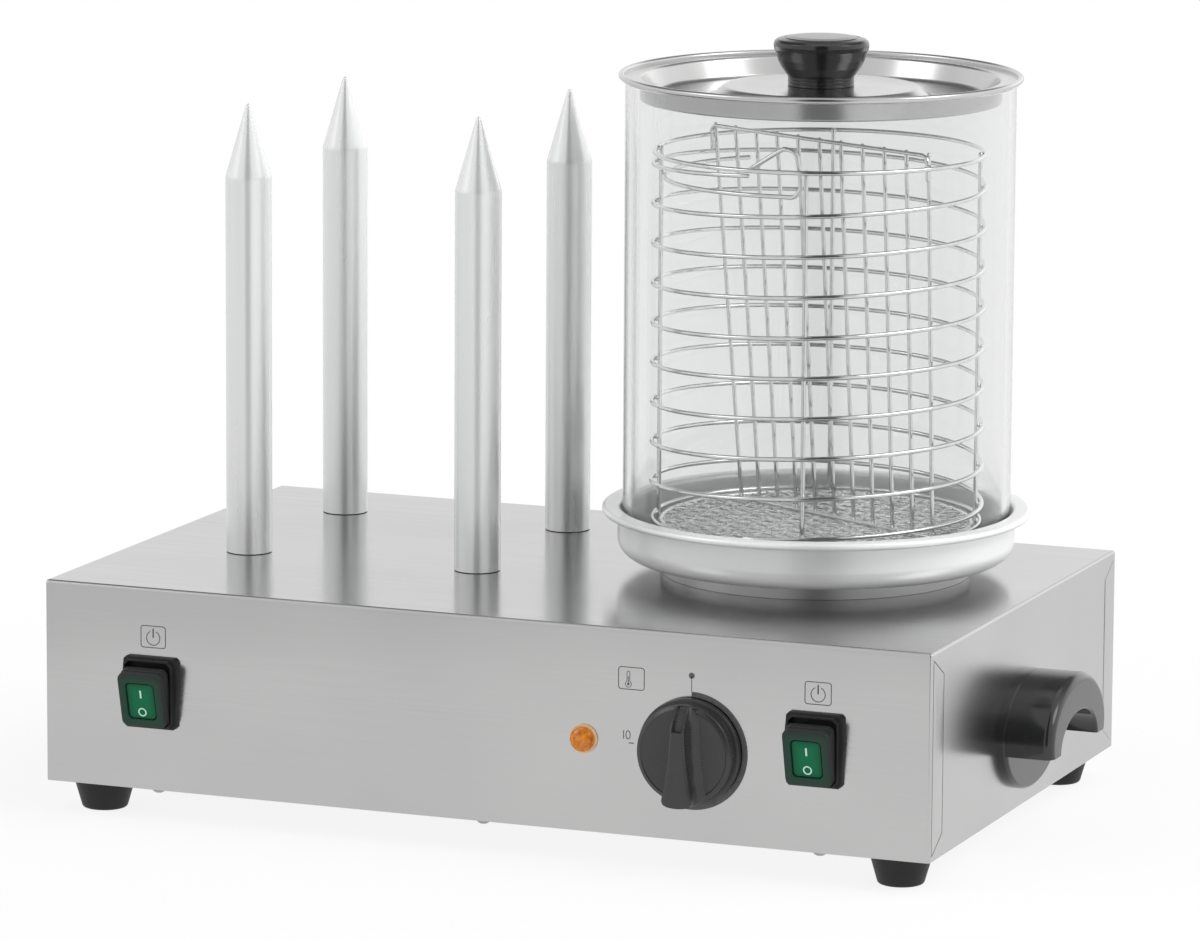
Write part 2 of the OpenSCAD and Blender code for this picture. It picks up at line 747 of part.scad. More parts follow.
// Sensor bulb against the heating plate, with its capillary to the thermostat
thermo_at = [body_w / 2 - knob_x, front_y + sheet_t + thermo_d, floor_z + knob_z];
capillary_end = thermo_at - steamer_at;
capillary_route = [
    [sensor_l / 2 - 2, sensor_y, sensor_z], [sensor_l / 2 + 2, sensor_y, sensor_z],
    [capillary_x - 1, sensor_y, sensor_z - 1], [capillary_x, sensor_y, sensor_z - 4],
    [capillary_x, sensor_y, shield_floor_z - 4], [capillary_x, sensor_y - 2, shield_floor_z - 14],
    [capillary_x - 2, sensor_y - 12, shield_floor_z - 22], [capillary_x - 8, -20, shield_floor_z - 28],
    [capillary_end[0] + 6, capillary_end[1] + 50, capillary_end[2] + 2],
    [capillary_end[0], capillary_end[1] + 16, capillary_end[2]],
    [capillary_end[0], capillary_end[1] + slip, capillary_end[2]]
];
module temperature_sensor() {
    color([0.72, 0.45, 0.28]) on_steamer() {
        translate([-sensor_l / 2, sensor_y, sensor_z]) rotate([0, 90, 0]) cylinder(d = sensor_d, h = sensor_l);
        wire(capillary_route, capillary_d / 2, 8, [0, 1, 0]);
    }
}

// Thermostat, its shaft and the control knob
module thermostat() {
    color(cream) on_front(body_w / 2 - knob_x, knob_z) difference() {
        union() {
            translate([-thermo_w / 2, -thermo_h / 2, -sheet_t - thermo_d]) cube([thermo_w, thermo_h, thermo_d]);
            translate([0, 0, -sheet_t - 1]) cylinder(d = bush_d, h = sheet_t + 1 + bush_l);
        }
        translate([0, 0, -sheet_t - shaft_in - slip])
            cylinder(d = shaft_d + 2 * run, h = sheet_t + shaft_in + bush_l + 1);
        for (s = [-1, 1]) translate([s * thermo_screw_gap / 2, 0, -thermo_screw_l - 1])
            cylinder(d = thermo_screw_d + slip, h = thermo_screw_l + 2);
    }
}
module thermostat_screws() {
    color(zinc) on_front(body_w / 2 - knob_x, knob_z)
        for (s = [-1, 1]) translate([s * thermo_screw_gap / 2, 0, 0])
            screw(thermo_head_d, thermo_head_h, thermo_screw_d, thermo_screw_l);
}
module thermostat_shaft() {
    color(zinc) on_front(body_w / 2 - knob_x, knob_z)
        translate([0, 0, -sheet_t - shaft_in]) cylinder(d = shaft_d, h = sheet_t + shaft_in + shaft_out);
}
module grip_bar() {
    reach = knob_d / 2 + pointer_end;
    intersection() {
        translate([0, 0, knob_face - 1]) linear_extrude(bar_h + 1)
            polygon([[-bar_broad_w / 2, -reach], [bar_broad_w / 2, -reach], [bar_waist_w / 2, 0],
                [bar_w / 2, reach], [-bar_w / 2, reach], [-bar_waist_w / 2, 0]]);
        cylinder(r = reach, h = knob_face + bar_h + 1);
    }
}
module control_knob() {
    skirt_edge = knob_d / 2 + knob_lip;
    color(black) on_front(body_w / 2 - knob_x, knob_z) difference() {
        union() {
            rotate_extrude() polygon([
                [knob_boss_d / 2, knob_hollow], [knob_hollow_d / 2, knob_hollow], [knob_hollow_d / 2, knob_gap],
                [skirt_edge, knob_gap], [skirt_edge, knob_gap + knob_skirt_t - 1],
                [skirt_edge - 1, knob_gap + knob_skirt_t], [knob_d / 2 + 0.5, knob_gap + knob_skirt_t],
                [knob_d / 2, knob_face - 1], [knob_d / 2 - 1, knob_face], [0, knob_face],
                [0, knob_boss_gap], [knob_boss_d / 2, knob_boss_gap]]);
            grip_bar();
        }
        cylinder(d = shaft_d + run, h = shaft_out + slip);
        translate([-notch_w / 2, knob_d / 2 + pointer_end - notch_l, knob_face + bar_h - notch_h])
            cube([notch_w, notch_l + 1, notch_h + 1]);
    }
}

// Pilot lamp
module lamp_lens() {
    color([0.95, 0.55, 0.10]) on_front(body_w / 2 - lamp_x, lamp_z) {
        cylinder(d = lamp_d, h = lamp_flange_t);
        translate([0, 0, lamp_flange_t - eps]) dome(lamp_d / 2 - lamp_rim, lamp_dome_h);
    }
}
module lamp_body() {
    color(cream) on_front(body_w / 2 - lamp_x, lamp_z) {
        translate([0, 0, -lamp_body_l]) cylinder(d = lamp_neck_d, h = lamp_body_l);
        for (s = [-1, 1])
            translate([s * lamp_neck_d / 4 - blade_t / 2, -lamp_blade_w / 2, -lamp_body_l - blade_l])
                cube([blade_t, lamp_blade_w, blade_l + eps]);
    }
}

// Rocker switches: a body behind the panel, a stepped sealing boot in front and a rocker in it
module block(w, h, z0, z1) {
    translate([-w / 2, -h / 2, z0]) cube([w, h, z1 - z0]);
}
module on_switch(s) {
    on_front(s * (body_w / 2 - switch_x), switch_z) children();
}
module switch_frame(s) {
    color(black) on_switch(s) difference() {
        union() {
            block(switch_w, switch_h, 0, frame_t);
            block(switch_w - 2 * step_in, switch_h - 2 * step_in, frame_t - eps, step_depth);
            block(switch_w - 2 * boot_in, switch_h - 2 * boot_in, step_depth - eps, boot_depth);
        }
        block(rocker_w + 2 * rocker_side, rocker_h + 2 * rocker_end, -1, boot_depth + 1);
        pivot_length = rocker_w + 2 * rocker_side + 2 * pivot_l;
        translate([-pivot_length / 2, 0, rocker_pivot_z]) rotate([0, 90, 0])
            cylinder(d = pivot_d + 2 * run, h = pivot_length);
    }
}
module switch_body(s) {
    color(black) on_switch(s) {
        block(switch_body_w, switch_body_h, -switch_body_l, 0);
        for (y = [-blade_pitch, 0, blade_pitch]) translate([0, y, 0])
            block(blade_w, blade_t, -switch_body_l - blade_l, -switch_body_l + eps);
    }
}
module rocker(s) {
    profile = [[-rocker_h / 2, rocker_back_z], [rocker_h / 2, rocker_back_z], [rocker_h / 2, rocker_front_z],
        [0, rocker_front_z - rocker_dip], [-rocker_h / 2, rocker_front_z]];
    pivot_length = rocker_w + 2 * pivot_l;
    color([0.05, 0.42, 0.22]) on_switch(s)
        translate([0, 0, rocker_pivot_z]) rotate([rocker_tip, 0, 0]) translate([0, 0, -rocker_pivot_z]) {
            translate([-rocker_w / 2, 0, 0]) rotate([90, 0, 90]) linear_extrude(rocker_w) polygon(profile);
            translate([-pivot_length / 2, 0, rocker_pivot_z]) rotate([0, 90, 0])
                cylinder(d = pivot_d, h = pivot_length);
        }
}
module switch_frame_left() { switch_frame(-1); }
module switch_frame_right() { switch_frame(1); }
module switch_body_left() { switch_body(-1); }
module switch_body_right() { switch_body(1); }
module rocker_left() { rocker(-1); }
module rocker_right() { rocker(1); }

// Terminal block beside the cable gland
block_at = [body_w / 2 - gland_x, back_y - block_gap - block_d / 2, floor_z + plate_t];
module terminal_block() {
    color(cream) translate(block_at) difference() {
        translate([-block_w / 2, -block_d / 2, 0]) cube([block_w, block_d, block_h]);
        for (i = [0:poles - 1], s = [-1, 1])
            translate([(i - (poles - 1) / 2) * pole_pitch, s * block_d / 4, block_h - pole_screw_h - 1])
                cylinder(d = pole_screw_d + 2 * slip, h = pole_screw_h + 2);
    }
}
module terminal_screws() {
    color(zinc) translate(block_at) for (i = [0:poles - 1], s = [-1, 1])
        translate([(i - (poles - 1) / 2) * pole_pitch, s * block_d / 4, block_h - pole_screw_h - 1])
            cylinder(d = pole_screw_d, h = pole_screw_h);
}

// Water pan with a rolled rim
module water_pan() {
    inner = pan_r - pan_t;
    flat = pan_rim_r - pan_bead_r;
    color(alloy) on_steamer() {
        rotate_extrude() polygon(concat(
            [[0, hot_h]], arc(pan_r - pan_edge_r, hot_h + pan_edge_r, pan_edge_r, -90, 0, 8),
            [[pan_r, pan_rim_z - pan_t], [flat, pan_rim_z - pan_t], [flat, pan_rim_z], [inner, pan_rim_z]],
            arc(pan_r - pan_edge_r, hot_h + pan_edge_r, pan_edge_r - pan_t, 0, -90, 8), [[0, pan_floor]]));
        translate([0, 0, pan_rim_z - pan_bead_r]) rotate_extrude() translate([flat, 0]) circle(pan_bead_r);
    }
}
module glass_cylinder() {
    color(clear) on_steamer(glass_low) ring(glass_d, glass_d - 2 * glass_t, glass_h);
}

// Sausage basket
module wire_ring(r, z) {
    color(bright) on_steamer(z) rotate_extrude() translate([r, 0]) circle(wire_r);
}
module basket_top_ring() { wire_ring(ring_r, ring_top_z); }
module basket_bottom_ring() { wire_ring(ring_r, ring_low_z); }
coil_steps = coil_turns * coil_rings;
coil_pitch = (coil_top - coil_low) / coil_turns;
coil_points = [for (i = [0:coil_steps]) let (t = i / coil_rings, a = coil_start - 360 * t)
    [coil_r * cos(a), coil_r * sin(a), coil_top - coil_pitch * t]];
coil_gap = min([for (i = [0:2 * coil_rings - 1], j = [i + coil_rings / 2:3 * coil_rings])
    norm(coil_points[i] - coil_points[j])]) - wire_d;
echo(least_gap_between_coil_turns = coil_gap);
module basket_coil() {
    color(bright) on_steamer() wire(coil_points, wire_r, wire_sides, [cos(coil_start), sin(coil_start), 0]);
}
module basket_uprights() {
    color(bright) for (a = [0:90:270]) on_steamer(pan_floor)
        rotate(a + uprights_turn) translate([upright_r, 0, 0])
            cylinder(r = wire_r, h = ring_top_z - pan_floor + wire_r);
}
module basket_divider() {
    step = (divider_l - 2 * divider_wire_r) / (divider_wires - 1);
    beside = 2 * divider_wire_r - divider_lap;
    color(bright) on_steamer() rotate(divider_turn) {
        for (z = [divider_low, divider_top]) translate([-divider_l / 2, 0, z])
            rotate([0, 90, 0]) cylinder(r = divider_wire_r, h = divider_l);
        for (i = [0:divider_wires - 1])
            translate([i * step + divider_wire_r - divider_l / 2, beside, divider_low])
                cylinder(r = divider_wire_r, h = divider_top - divider_low);
        for (s = [-1, 1]) translate([s * divider_l / 2, 0, divider_top]) {
            sphere(divider_wire_r);
            translate([0, 0, -divider_hook]) cylinder(r = divider_wire_r, h = divider_hook);
        }
    }
}
function loop_point(a, z) = [loop_r * cos(a), loop_r * sin(a), z];
loop_points = concat(
    [for (i = [0:loop_steps]) loop_point(loop_from + (loop_to - loop_from) * i / loop_steps, loop_z)],
    [loop_point(loop_to + 2, loop_z + loop_lead), loop_point(loop_to + 3, loop_z + loop_bend),
     loop_point(loop_to + 2, loop_peak - loop_neck), loop_point(loop_to + 1, loop_peak - loop_crest),
     loop_point(loop_to - 2, loop_peak), loop_point(loop_to - 5, loop_peak - loop_fall),
     loop_point(loop_end, ring_top_z)]);
module basket_handle() {
    color(bright) on_steamer() wire(loop_points, wire_r, wire_sides, [0, 0, 1]);
}
module basket_floor() {
    bars = ceil(mesh_r / mesh_pitch);
    color(bright) on_steamer(mesh_z) linear_extrude(mesh_t) {
        intersection() {
            circle(mesh_r);
            union() for (turn = [45, 135], i = [-bars:bars]) rotate(turn)
                translate([-mesh_r, i * mesh_pitch - mesh_bar / 2]) square([2 * mesh_r, mesh_bar]);
        }
        difference() {
            circle(mesh_r);
            circle(mesh_r - 2 * mesh_bar);
        }
    }
}

// Lid: a rolled rim on the glass edge, a skirt inside it, a valley and a raised middle
module lid_shell() {
    rim = lid_r - lid_bead_r;
    bead_end = 180 - asin(lid_t / lid_bead_r - 1);
    color(bright) on_steamer(glass_top) difference() {
        rotate_extrude() polygon(concat(
            arc(rim, lid_bead_r, lid_bead_r, -90, bead_end, 16),
            [[skirt_r - lid_t, lid_t], [valley_r, lid_t - skirt_h],
             [dome_low_d / 2, lid_t - skirt_h], [dome_top_d / 2, lid_t + dome_top], [0, lid_t + dome_top],
             [0, dome_top], [dome_top_d / 2 - lid_t / 2, dome_top], [dome_low_d / 2 - lid_t / 2, -skirt_h],
             [skirt_r, -skirt_h], [skirt_r, 0]]));
        translate([0, 0, dome_top - 1]) cylinder(d = grip_screw_d + 2 * slip, h = lid_t + 2);
    }
}
module lid_knob() {
    neck = grip_neck_d / 2;
    big = grip_d / 2;
    hole = grip_screw_d / 2 + slip / 2;
    color(black) on_steamer(glass_top + dome_top + lid_t) rotate_extrude()
        polygon([[hole, 0], [neck, 0], [neck, 4], [neck + 0.6, 7], [big - 2.4, grip_h - 10], [big, grip_h - 6],
            [big, grip_h - 4], [big - 1.4, grip_h - 2.2], [big - 3.2, grip_h - 0.6], [big - 6, grip_h],
            [0, grip_h], [0, grip_screw_l + slip], [hole, grip_screw_l + slip]]);
}
module lid_screw() {
    color(zinc) on_steamer(glass_top + dome_top) rotate([180, 0, 0])
        screw(grip_head_d, grip_head_h, grip_screw_d, lid_t + grip_screw_l);
}

housing_shell();
base_plate();
base_screws();
foot_front_left();
foot_front_right();
foot_back_left();
foot_back_right();
foot_screws();
foot_nuts();
handle_left();
handle_right();
handle_screws();
cable_gland();
gland_nut();
spike_front_left();
spike_front_right();
spike_back_left();
spike_back_right();
cartridge_front_left();
cartridge_front_right();
cartridge_back_left();
cartridge_back_right();
spike_seals();
spike_washers();
spike_nuts();
heating_plate();
heating_element();
heat_shield();
shield_nut();
temperature_sensor();
thermostat();
thermostat_screws();
thermostat_shaft();
control_knob();
lamp_lens();
lamp_body();
switch_frame_left();
switch_frame_right();
switch_body_left();
switch_body_right();
rocker_left();
rocker_right();
terminal_block();
terminal_screws();
water_pan();
glass_cylinder();
basket_top_ring();
basket_coil();
basket_bottom_ring();
basket_uprights();
basket_divider();
basket_handle();
basket_floor();
lid_shell();
lid_knob();
lid_screw();
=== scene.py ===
# Countertop hot dog maker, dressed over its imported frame.
# Lengths are millimetres until a mesh is made, angles are degrees in the dictionaries.
import json
import bmesh
import bpy
import numpy as np
from mathutils import Matrix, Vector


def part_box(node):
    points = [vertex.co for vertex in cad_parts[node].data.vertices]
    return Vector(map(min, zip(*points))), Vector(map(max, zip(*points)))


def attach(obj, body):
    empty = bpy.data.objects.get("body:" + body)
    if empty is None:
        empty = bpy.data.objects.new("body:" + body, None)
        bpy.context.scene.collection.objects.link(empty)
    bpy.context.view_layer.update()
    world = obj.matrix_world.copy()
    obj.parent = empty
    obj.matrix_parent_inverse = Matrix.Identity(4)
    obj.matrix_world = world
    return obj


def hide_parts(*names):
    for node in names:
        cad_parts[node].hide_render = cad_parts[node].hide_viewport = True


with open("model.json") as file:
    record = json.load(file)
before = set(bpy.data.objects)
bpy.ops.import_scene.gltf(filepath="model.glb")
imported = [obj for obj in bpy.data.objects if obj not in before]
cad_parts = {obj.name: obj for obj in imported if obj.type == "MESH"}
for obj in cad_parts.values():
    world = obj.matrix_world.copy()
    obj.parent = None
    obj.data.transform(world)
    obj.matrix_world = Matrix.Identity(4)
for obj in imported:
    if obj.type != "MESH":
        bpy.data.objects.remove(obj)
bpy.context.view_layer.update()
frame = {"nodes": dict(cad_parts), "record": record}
metres = 0.001
tau = 2 * np.pi
fourPlaces = ("front_left", "front_right", "back_left", "back_right")
print("frame loaded,", len(frame["nodes"]), "nodes")


# lowest and highest corner of a node: its box in metres, divided into millimetres
def corners(node):
    return np.array(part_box(node)) / metres


# middle of a node's box: the mean of its two corners, with one coordinate set
def middleOf(node, axis, value):
    middle = corners(node).mean(axis=0)
    middle[axis] = value
    return middle


# half of a node's width: half of its highest x less its lowest
def reachOf(node):
    lo, hi = corners(node)
    return (hi[0] - lo[0]) / 2


# lowest and highest level of a node: the heights of its two corners
def levelsOf(node):
    return corners(node)[:, 2]


shellLo, shellHi = corners("housing_shell")
frontY, backY = shellLo[1], shellHi[1]
midY = (frontY + backY) / 2
floorZ, topZ = shellLo[2], shellHi[2]
glassLow, glassTop = levelsOf("glass_cylinder")
steamer = middleOf("glass_cylinder", 2, 0.0)

# rows are a face's own right, up and outward directions
flat = np.eye(3)
onFront = np.array([(1, 0, 0), (0, 0, 1), (0, -1, 0)], float)
onRight = np.array([(0, 1, 0), (0, 0, 1), (1, 0, 0)], float)
onLeft = np.array([(0, -1, 0), (0, 0, 1), (-1, 0, 0)], float)
onBack = np.array([(-1, 0, 0), (0, 0, 1), (0, 1, 0)], float)
underneath = np.array([(1, 0, 0), (0, -1, 0), (0, 0, -1)], float)


# vectors divided by their own lengths
def unit(vectors):
    return vectors / np.maximum(np.linalg.norm(vectors, axis=-1, keepdims=True), 1e-6)


# directions along a path: each point's next neighbour less the one before it, at unit length
def headings(path, ring):
    return unit(np.roll(path, -1, 0) - np.roll(path, 1, 0) if ring else np.gradient(path, axis=0))


# points[row, column] joined by quads: columns close round, rows close too in a ring,
# and otherwise each end row shrinks to its mean, which shuts the form
def gridPart(points, ring=False):
    if not ring:
        poles = points[[0, -1]].mean(axis=1)[:, None, None] * np.ones((1, 1, points.shape[1], 1))
        points = np.concatenate((poles[0], points, poles[1]))
    rows, columns = points.shape[:2]
    spans = rows if ring else rows - 1
    row, column = np.meshgrid(np.arange(spans), np.arange(columns), indexing="ij")
    row = row[..., None] + (0, 0, 1, 1)
    column = column[..., None] + (0, 1, 1, 0)
    quads = (row % rows) * columns + column % columns
    uv = np.stack((column / columns, row / spans), -1)
    return points.reshape(-1, 3), quads.reshape(-1, 4), uv.reshape(-1, 2)


# an object of its data, linked to the scene at the origin
def addObject(name, data):
    made = bpy.data.objects.new(name, data)
    bpy.context.scene.collection.objects.link(made)
    return made


# one mesh from several parts: their points in metres, their quads moved up by the points before them
def makePiece(name, parts, finish, body, replaced=None, sharp=40, weighted=True):
    points, quads, uv = zip(*parts)
    starts = np.cumsum([0] + [len(part) for part in points[:-1]])
    quads = np.concatenate([part + start for part, start in zip(quads, starts)])
    mesh = bpy.data.meshes.new(name)
    mesh.from_pydata((np.concatenate(points) * metres).tolist(), [], quads.tolist())
    mesh.uv_layers.new(name="UVMap").data.foreach_set("uv", np.concatenate(uv).ravel())
    work = bmesh.new()
    work.from_mesh(mesh)
    bmesh.ops.remove_doubles(work, verts=work.verts, dist=2e-6)
    bmesh.ops.dissolve_degenerate(work, edges=work.edges, dist=1e-6)
    bmesh.ops.recalc_face_normals(work, faces=work.faces)
    work.to_mesh(mesh)
    work.free()
    mesh.shade_smooth()
    mesh.set_sharp_from_angle(angle=np.radians(sharp))
    mesh.materials.append(finish)
    piece = addObject(name, mesh)
    if weighted:
        piece.modifiers.new("even shading", "WEIGHTED_NORMAL").keep_sharp = True
    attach(piece, body)
    if replaced:
        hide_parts(replaced)


# a profile of (radius, height) pairs carried round an axis; waves multiplies the radius by row and angle
def turned(profile, centre, axes=flat, count=96, waves=1.0, ring=False):
    radius, height = np.transpose(np.asarray(profile, float))[..., None]
    angle = np.arange(count) / count * tau
    reach = radius * waves * np.ones(count)
    local = np.stack((reach * np.cos(angle), reach * np.sin(angle), height * np.ones(count)), -1)
    return gridPart(np.asarray(centre, float) + local @ axes, ring)


# each corner of a line becomes an arc: it begins and ends radius / tan(half the corner's angle) from the
# corner, and its points blend the two ends by the sine rule about the arc's centre
def rounded(points, radius, steps=6, ring=False):
    points = np.asarray(points, float)
    if ring:
        points = np.concatenate((points[-1:], points, points[:1]))
    corner = points[1:-1]
    before, after = points[:-2] - corner, points[2:] - corner
    room = np.minimum(np.linalg.norm(before, axis=1), np.linalg.norm(after, axis=1)) * 0.48
    before, after = unit(before), unit(after)
    half = np.arccos(np.clip((before * after).sum(1), -1, 1)) / 2
    half = np.clip(half, 1e-3, np.pi / 2 - 1e-3)
    cut = np.minimum(radius / np.tan(half), room)
    centre = corner + unit(before + after) * (cut / np.cos(half))[:, None]
    first = corner + before * cut[:, None] - centre
    last = corner + after * cut[:, None] - centre
    turn = (np.pi - 2 * half)[:, None, None]
    share = np.linspace(0, 1, steps)[None, :, None]
    arc = first[:, None] * np.sin((1 - share) * turn) + last[:, None] * np.sin(share * turn)
    arcs = (centre[:, None] + arc / np.sin(turn)).reshape(-1, points.shape[1])
    return arcs if ring else np.concatenate((points[:1], arcs, points[-1:]))


# a closed wall section between two radii and two levels, with rounded edges
def wallSection(inside, outside, low, top, edge, steps):
    return rounded([(inside, low), (outside, low), (outside, top), (inside, top)], edge, steps, True)


# rounded rectangles, one loop for each row: a corner's circle set out to that corner's centre
def rectLoops(width, height, radius, steps=7):
    width, height, radius = np.broadcast_arrays(*np.atleast_1d(width, height, radius))
    angle = (np.arange(4)[:, None] + np.linspace(0, 1, steps)).ravel() * tau / 4
    right = np.repeat([1, -1, -1, 1], steps)
    up = np.repeat([1, 1, -1, -1], steps)
    x = right * (width / 2 - radius)[:, None] + radius[:, None] * np.cos(angle)
    y = up * (height / 2 - radius)[:, None] + radius[:, None] * np.sin(angle)
    return np.stack((x, y), -1)


# loops in a face's plane set at heights above it: a list has one for each loop, a row one for each column
def stacked(loops, heights, origin, axes):
    heights = np.asarray(heights, float)
    if heights.ndim == 1:
        heights = heights[:, None]
    heights = np.broadcast_to(heights, loops.shape[:2])[..., None]
    return np.asarray(origin, float) + np.concatenate((loops, heights), -1) @ axes


# a smooth line through points: each span is the cubic of its two ends and their two neighbours
def smoothPath(points, steps=8):
    points = np.concatenate((2 * points[:1] - points[1:2], points, 2 * points[-1:] - points[-2:-1]))
    a, b, c, d = points[:-3, None], points[1:-2, None], points[2:-1, None], points[3:, None]
    t = np.linspace(0, 1, steps, endpoint=False)[None, :, None]
    line = 2 * b + (c - a) * t + (2 * a - 5 * b + 4 * c - d) * t ** 2 + (3 * b - a - 3 * c + d) * t ** 3
    return np.concatenate((line.reshape(-1, points.shape[1]) / 2, points[-2:-1]))


# a circle carried along a path in the plane across it; open ends close with quarter-round caps
def tube(path, radius, side=(0, 0, 1), count=12, ring=False):
    along = headings(path, ring)
    side = np.broadcast_to(np.asarray(side, float), path.shape)
    across = unit(side - along * (side * along).sum(1, keepdims=True))
    other = np.cross(along, across)
    size = np.full(len(path), float(radius))
    if not ring:
        cap = np.linspace(tau / 4, 0, 4)[:-1]
        first = path[:1] - along[:1] * radius * np.sin(cap)[:, None]
        last = path[-1:] + along[-1:] * radius * np.sin(cap[::-1])[:, None]
        path = np.concatenate((first, path, last))
        size = np.concatenate((radius * np.cos(cap), size, radius * np.cos(cap[::-1])))
        across, other = (np.pad(part, ((3, 3), (0, 0)), "edge") for part in (across, other))
    angle = np.arange(count)[None, :, None] / count * tau
    spread = np.cos(angle) * across[:, None] + np.sin(angle) * other[:, None]
    return gridPart(path[:, None] + size[:, None, None] * spread, ring)


# a printed line: a low rectangle carried along a path in a face's plane
def printed(path, width, origin, axes, lift=0.0, height=0.12, ring=False):
    along = headings(path, ring)
    across = np.stack((-along[:, 1], along[:, 0]), -1) * np.reshape(width, (-1, 1)) / 2
    edges = np.stack((path - across, path + across, path + across, path - across), 1)
    return gridPart(stacked(edges, [[lift, lift, lift + height, lift + height]], origin, axes), ring)


# points on an arc: the centre plus the radius, one or a pair, times the cosine and the sine of each angle
def arcPoints(centre, radius, start, end, steps):
    angle = np.radians(np.linspace(start, end, steps))
    return np.asarray(centre) + np.stack((np.cos(angle), np.sin(angle)), -1) * radius


# a matrix with right, up and backward directions as its columns, and then a place in metres
def posed(right, up, backward, place):
    matrix = np.eye(4)
    matrix[:3] = np.stack((right, up, backward, place), 1)
    return Matrix(matrix.tolist())


# camera at the photographed angle: its directions follow from azimuth, elevation and roll
viewpoint = {"azimuth": 21.568, "elevation": 10.176, "roll": 0.346, "lens": 216.0, "sensor": 36.0,
    "place": (1353.4, -3259.3, 829.3), "farthest": 20.0}
azimuth, elevation, roll = np.radians([viewpoint[key] for key in ("azimuth", "elevation", "roll")])
toCamera = np.array([np.sin(azimuth) * np.cos(elevation), -np.cos(azimuth) * np.cos(elevation),
        np.sin(elevation)])
levelRight = np.array([np.cos(azimuth), np.sin(azimuth), 0.0])
upright = np.cross(toCamera, levelRight)
cameraData = bpy.data.cameras.new("studio camera")
cameraData.lens = viewpoint["lens"]
cameraData.sensor_width = viewpoint["sensor"]
cameraData.clip_end = viewpoint["farthest"]
cameraObject = addObject("studio camera", cameraData)
cameraObject.matrix_world = posed(np.cos(roll) * levelRight + np.sin(roll) * upright,
    np.cos(roll) * upright - np.sin(roll) * levelRight, toCamera,
    (np.array(viewpoint["place"]) + (0, frontY, 0)) * metres)
bpy.context.scene.camera = cameraObject
bpy.context.scene.view_settings.view_transform = "Standard"
print("camera set")


# sockets by label or number: what leads on from another node is linked, a plain value is set
def feed(tree, inputs, values):
    for key, value in values.items():
        if isinstance(value, bpy.types.NodeSocket):
            tree.links.new(value, inputs[key])
        else:
            inputs[key].default_value = value


# a shader node with its own settings and fed inputs, handed back as its outputs
def addNode(tree, kind, values, **settings):
    node = tree.nodes.new("ShaderNode" + kind)
    for key, value in settings.items():
        setattr(node, key, value)
    feed(tree, node.inputs, values)
    return node.outputs


# a noise field: the position on the piece times a scale for each axis, in cycles a metre
def noise(tree, x, y, z, detail):
    spot = addNode(tree, "TexCoord", {})["Object"]
    stretched = addNode(tree, "Mapping", {"Vector": spot, "Scale": (x, y, z)})["Vector"]
    return addNode(tree, "TexNoise", {"Vector": stretched, "Scale": 1.0, "Detail": detail})["Fac"]


# one coordinate of the position on the piece, or of its UV map
def coordinate(tree, source, axis):
    return addNode(tree, "SeparateXYZ", {"Vector": addNode(tree, "TexCoord", {})[source]})[axis]


# a value that goes evenly from low to high while the field goes from start to end
def ramped(tree, field, start, end, low=0.0, high=1.0):
    span = {"Value": field, "From Min": start, "From Max": end, "To Min": low, "To Max": high}
    return addNode(tree, "MapRange", span)["Result"]


# a colour that goes evenly from stop to stop; a stop is a level of the field and its colour
def tinted(tree, field, stops):
    color = addNode(tree, "ValToRGB", {"Fac": field})["Color"]
    ramp = color.node.color_ramp.elements
    for stop, (level, tint) in ((ramp[0], stops[0]), (ramp[1], stops[-1])):
        stop.position = level
        stop.color = (*tint, 1)
    for level, tint in stops[1:-1]:
        ramp.new(level).color = (*tint, 1)
    return color


# a sum, product or other operation on two inputs, each a socket or a number
def worked(tree, operation, first, second=0.0):
    return addNode(tree, "Math", {0: first, 1: second}, operation=operation)["Value"]


# a blend of two inputs: the first times one less share, plus the second times share
def blended(tree, share, first, second):
    return addNode(tree, "Mix", {0: share, 2: first, 3: second}, data_type="FLOAT")[0]


# the same number for red, green and blue
def grey(value):
    return (value, value, value)


# noise of one scale on all three axes, with its detail
def even(scale, detail=3.0):
    return (scale, scale, scale, detail)


# a finish: its tints run over the grain between two levels, or along the second UV direction where there is
# no grain; the bump and a pair of roughness values run over a finer field
def newFinish(name, tints, grain, roughness, metallic=0.0, fine=None, bump=None, levels=(0.3, 0.7),
        fixed=()):
    finish = bpy.data.materials.new(name)
    finish.use_nodes = True
    tree = finish.node_tree
    field = noise(tree, *grain) if grain else coordinate(tree, "UV", "Y")
    values = {"Base Color": tinted(tree, field, tuple(zip(levels, tints))), "Metallic": metallic}
    values.update(fixed)
    finer = noise(tree, *fine) if fine else None
    paired = isinstance(roughness, tuple)
    values["Roughness"] = ramped(tree, finer, 0.3, 0.7, *roughness) if paired else roughness
    if bump:
        strength, distance = bump
        raised = {"Height": finer, "Strength": strength, "Distance": distance}
        values["Normal"] = addNode(tree, "Bump", raised)["Normal"]
    feed(tree, tree.nodes["Principled BSDF"].inputs, values)
    return finish


# housing sheet: satin steel with a fine grain along its length
housingSteel = newFinish("satin housing steel", ((0.475, 0.475, 0.474), (0.515, 0.515, 0.512)),
    (7, 9, 9, 2), (0.13, 0.21), metallic=1.0, fine=(6, 900, 900, 3), bump=(0.03, 0.0001))
# its two end faces are duller and even: past a distance from the middle the roughness blends to one value
endFace = {"from": 238.5, "to": 239.6, "roughness": 0.25}
steelTree = housingSteel.node_tree
steelRoughness = steelTree.nodes["Principled BSDF"].inputs["Roughness"]
fromMiddle = worked(steelTree, "ABSOLUTE", coordinate(steelTree, "Object", "X"))
endShare = ramped(steelTree, fromMiddle, endFace["from"] * metres, endFace["to"] * metres)
dulled = blended(steelTree, endShare, steelRoughness.links[0].from_socket, endFace["roughness"])
steelTree.links.new(dulled, steelRoughness)

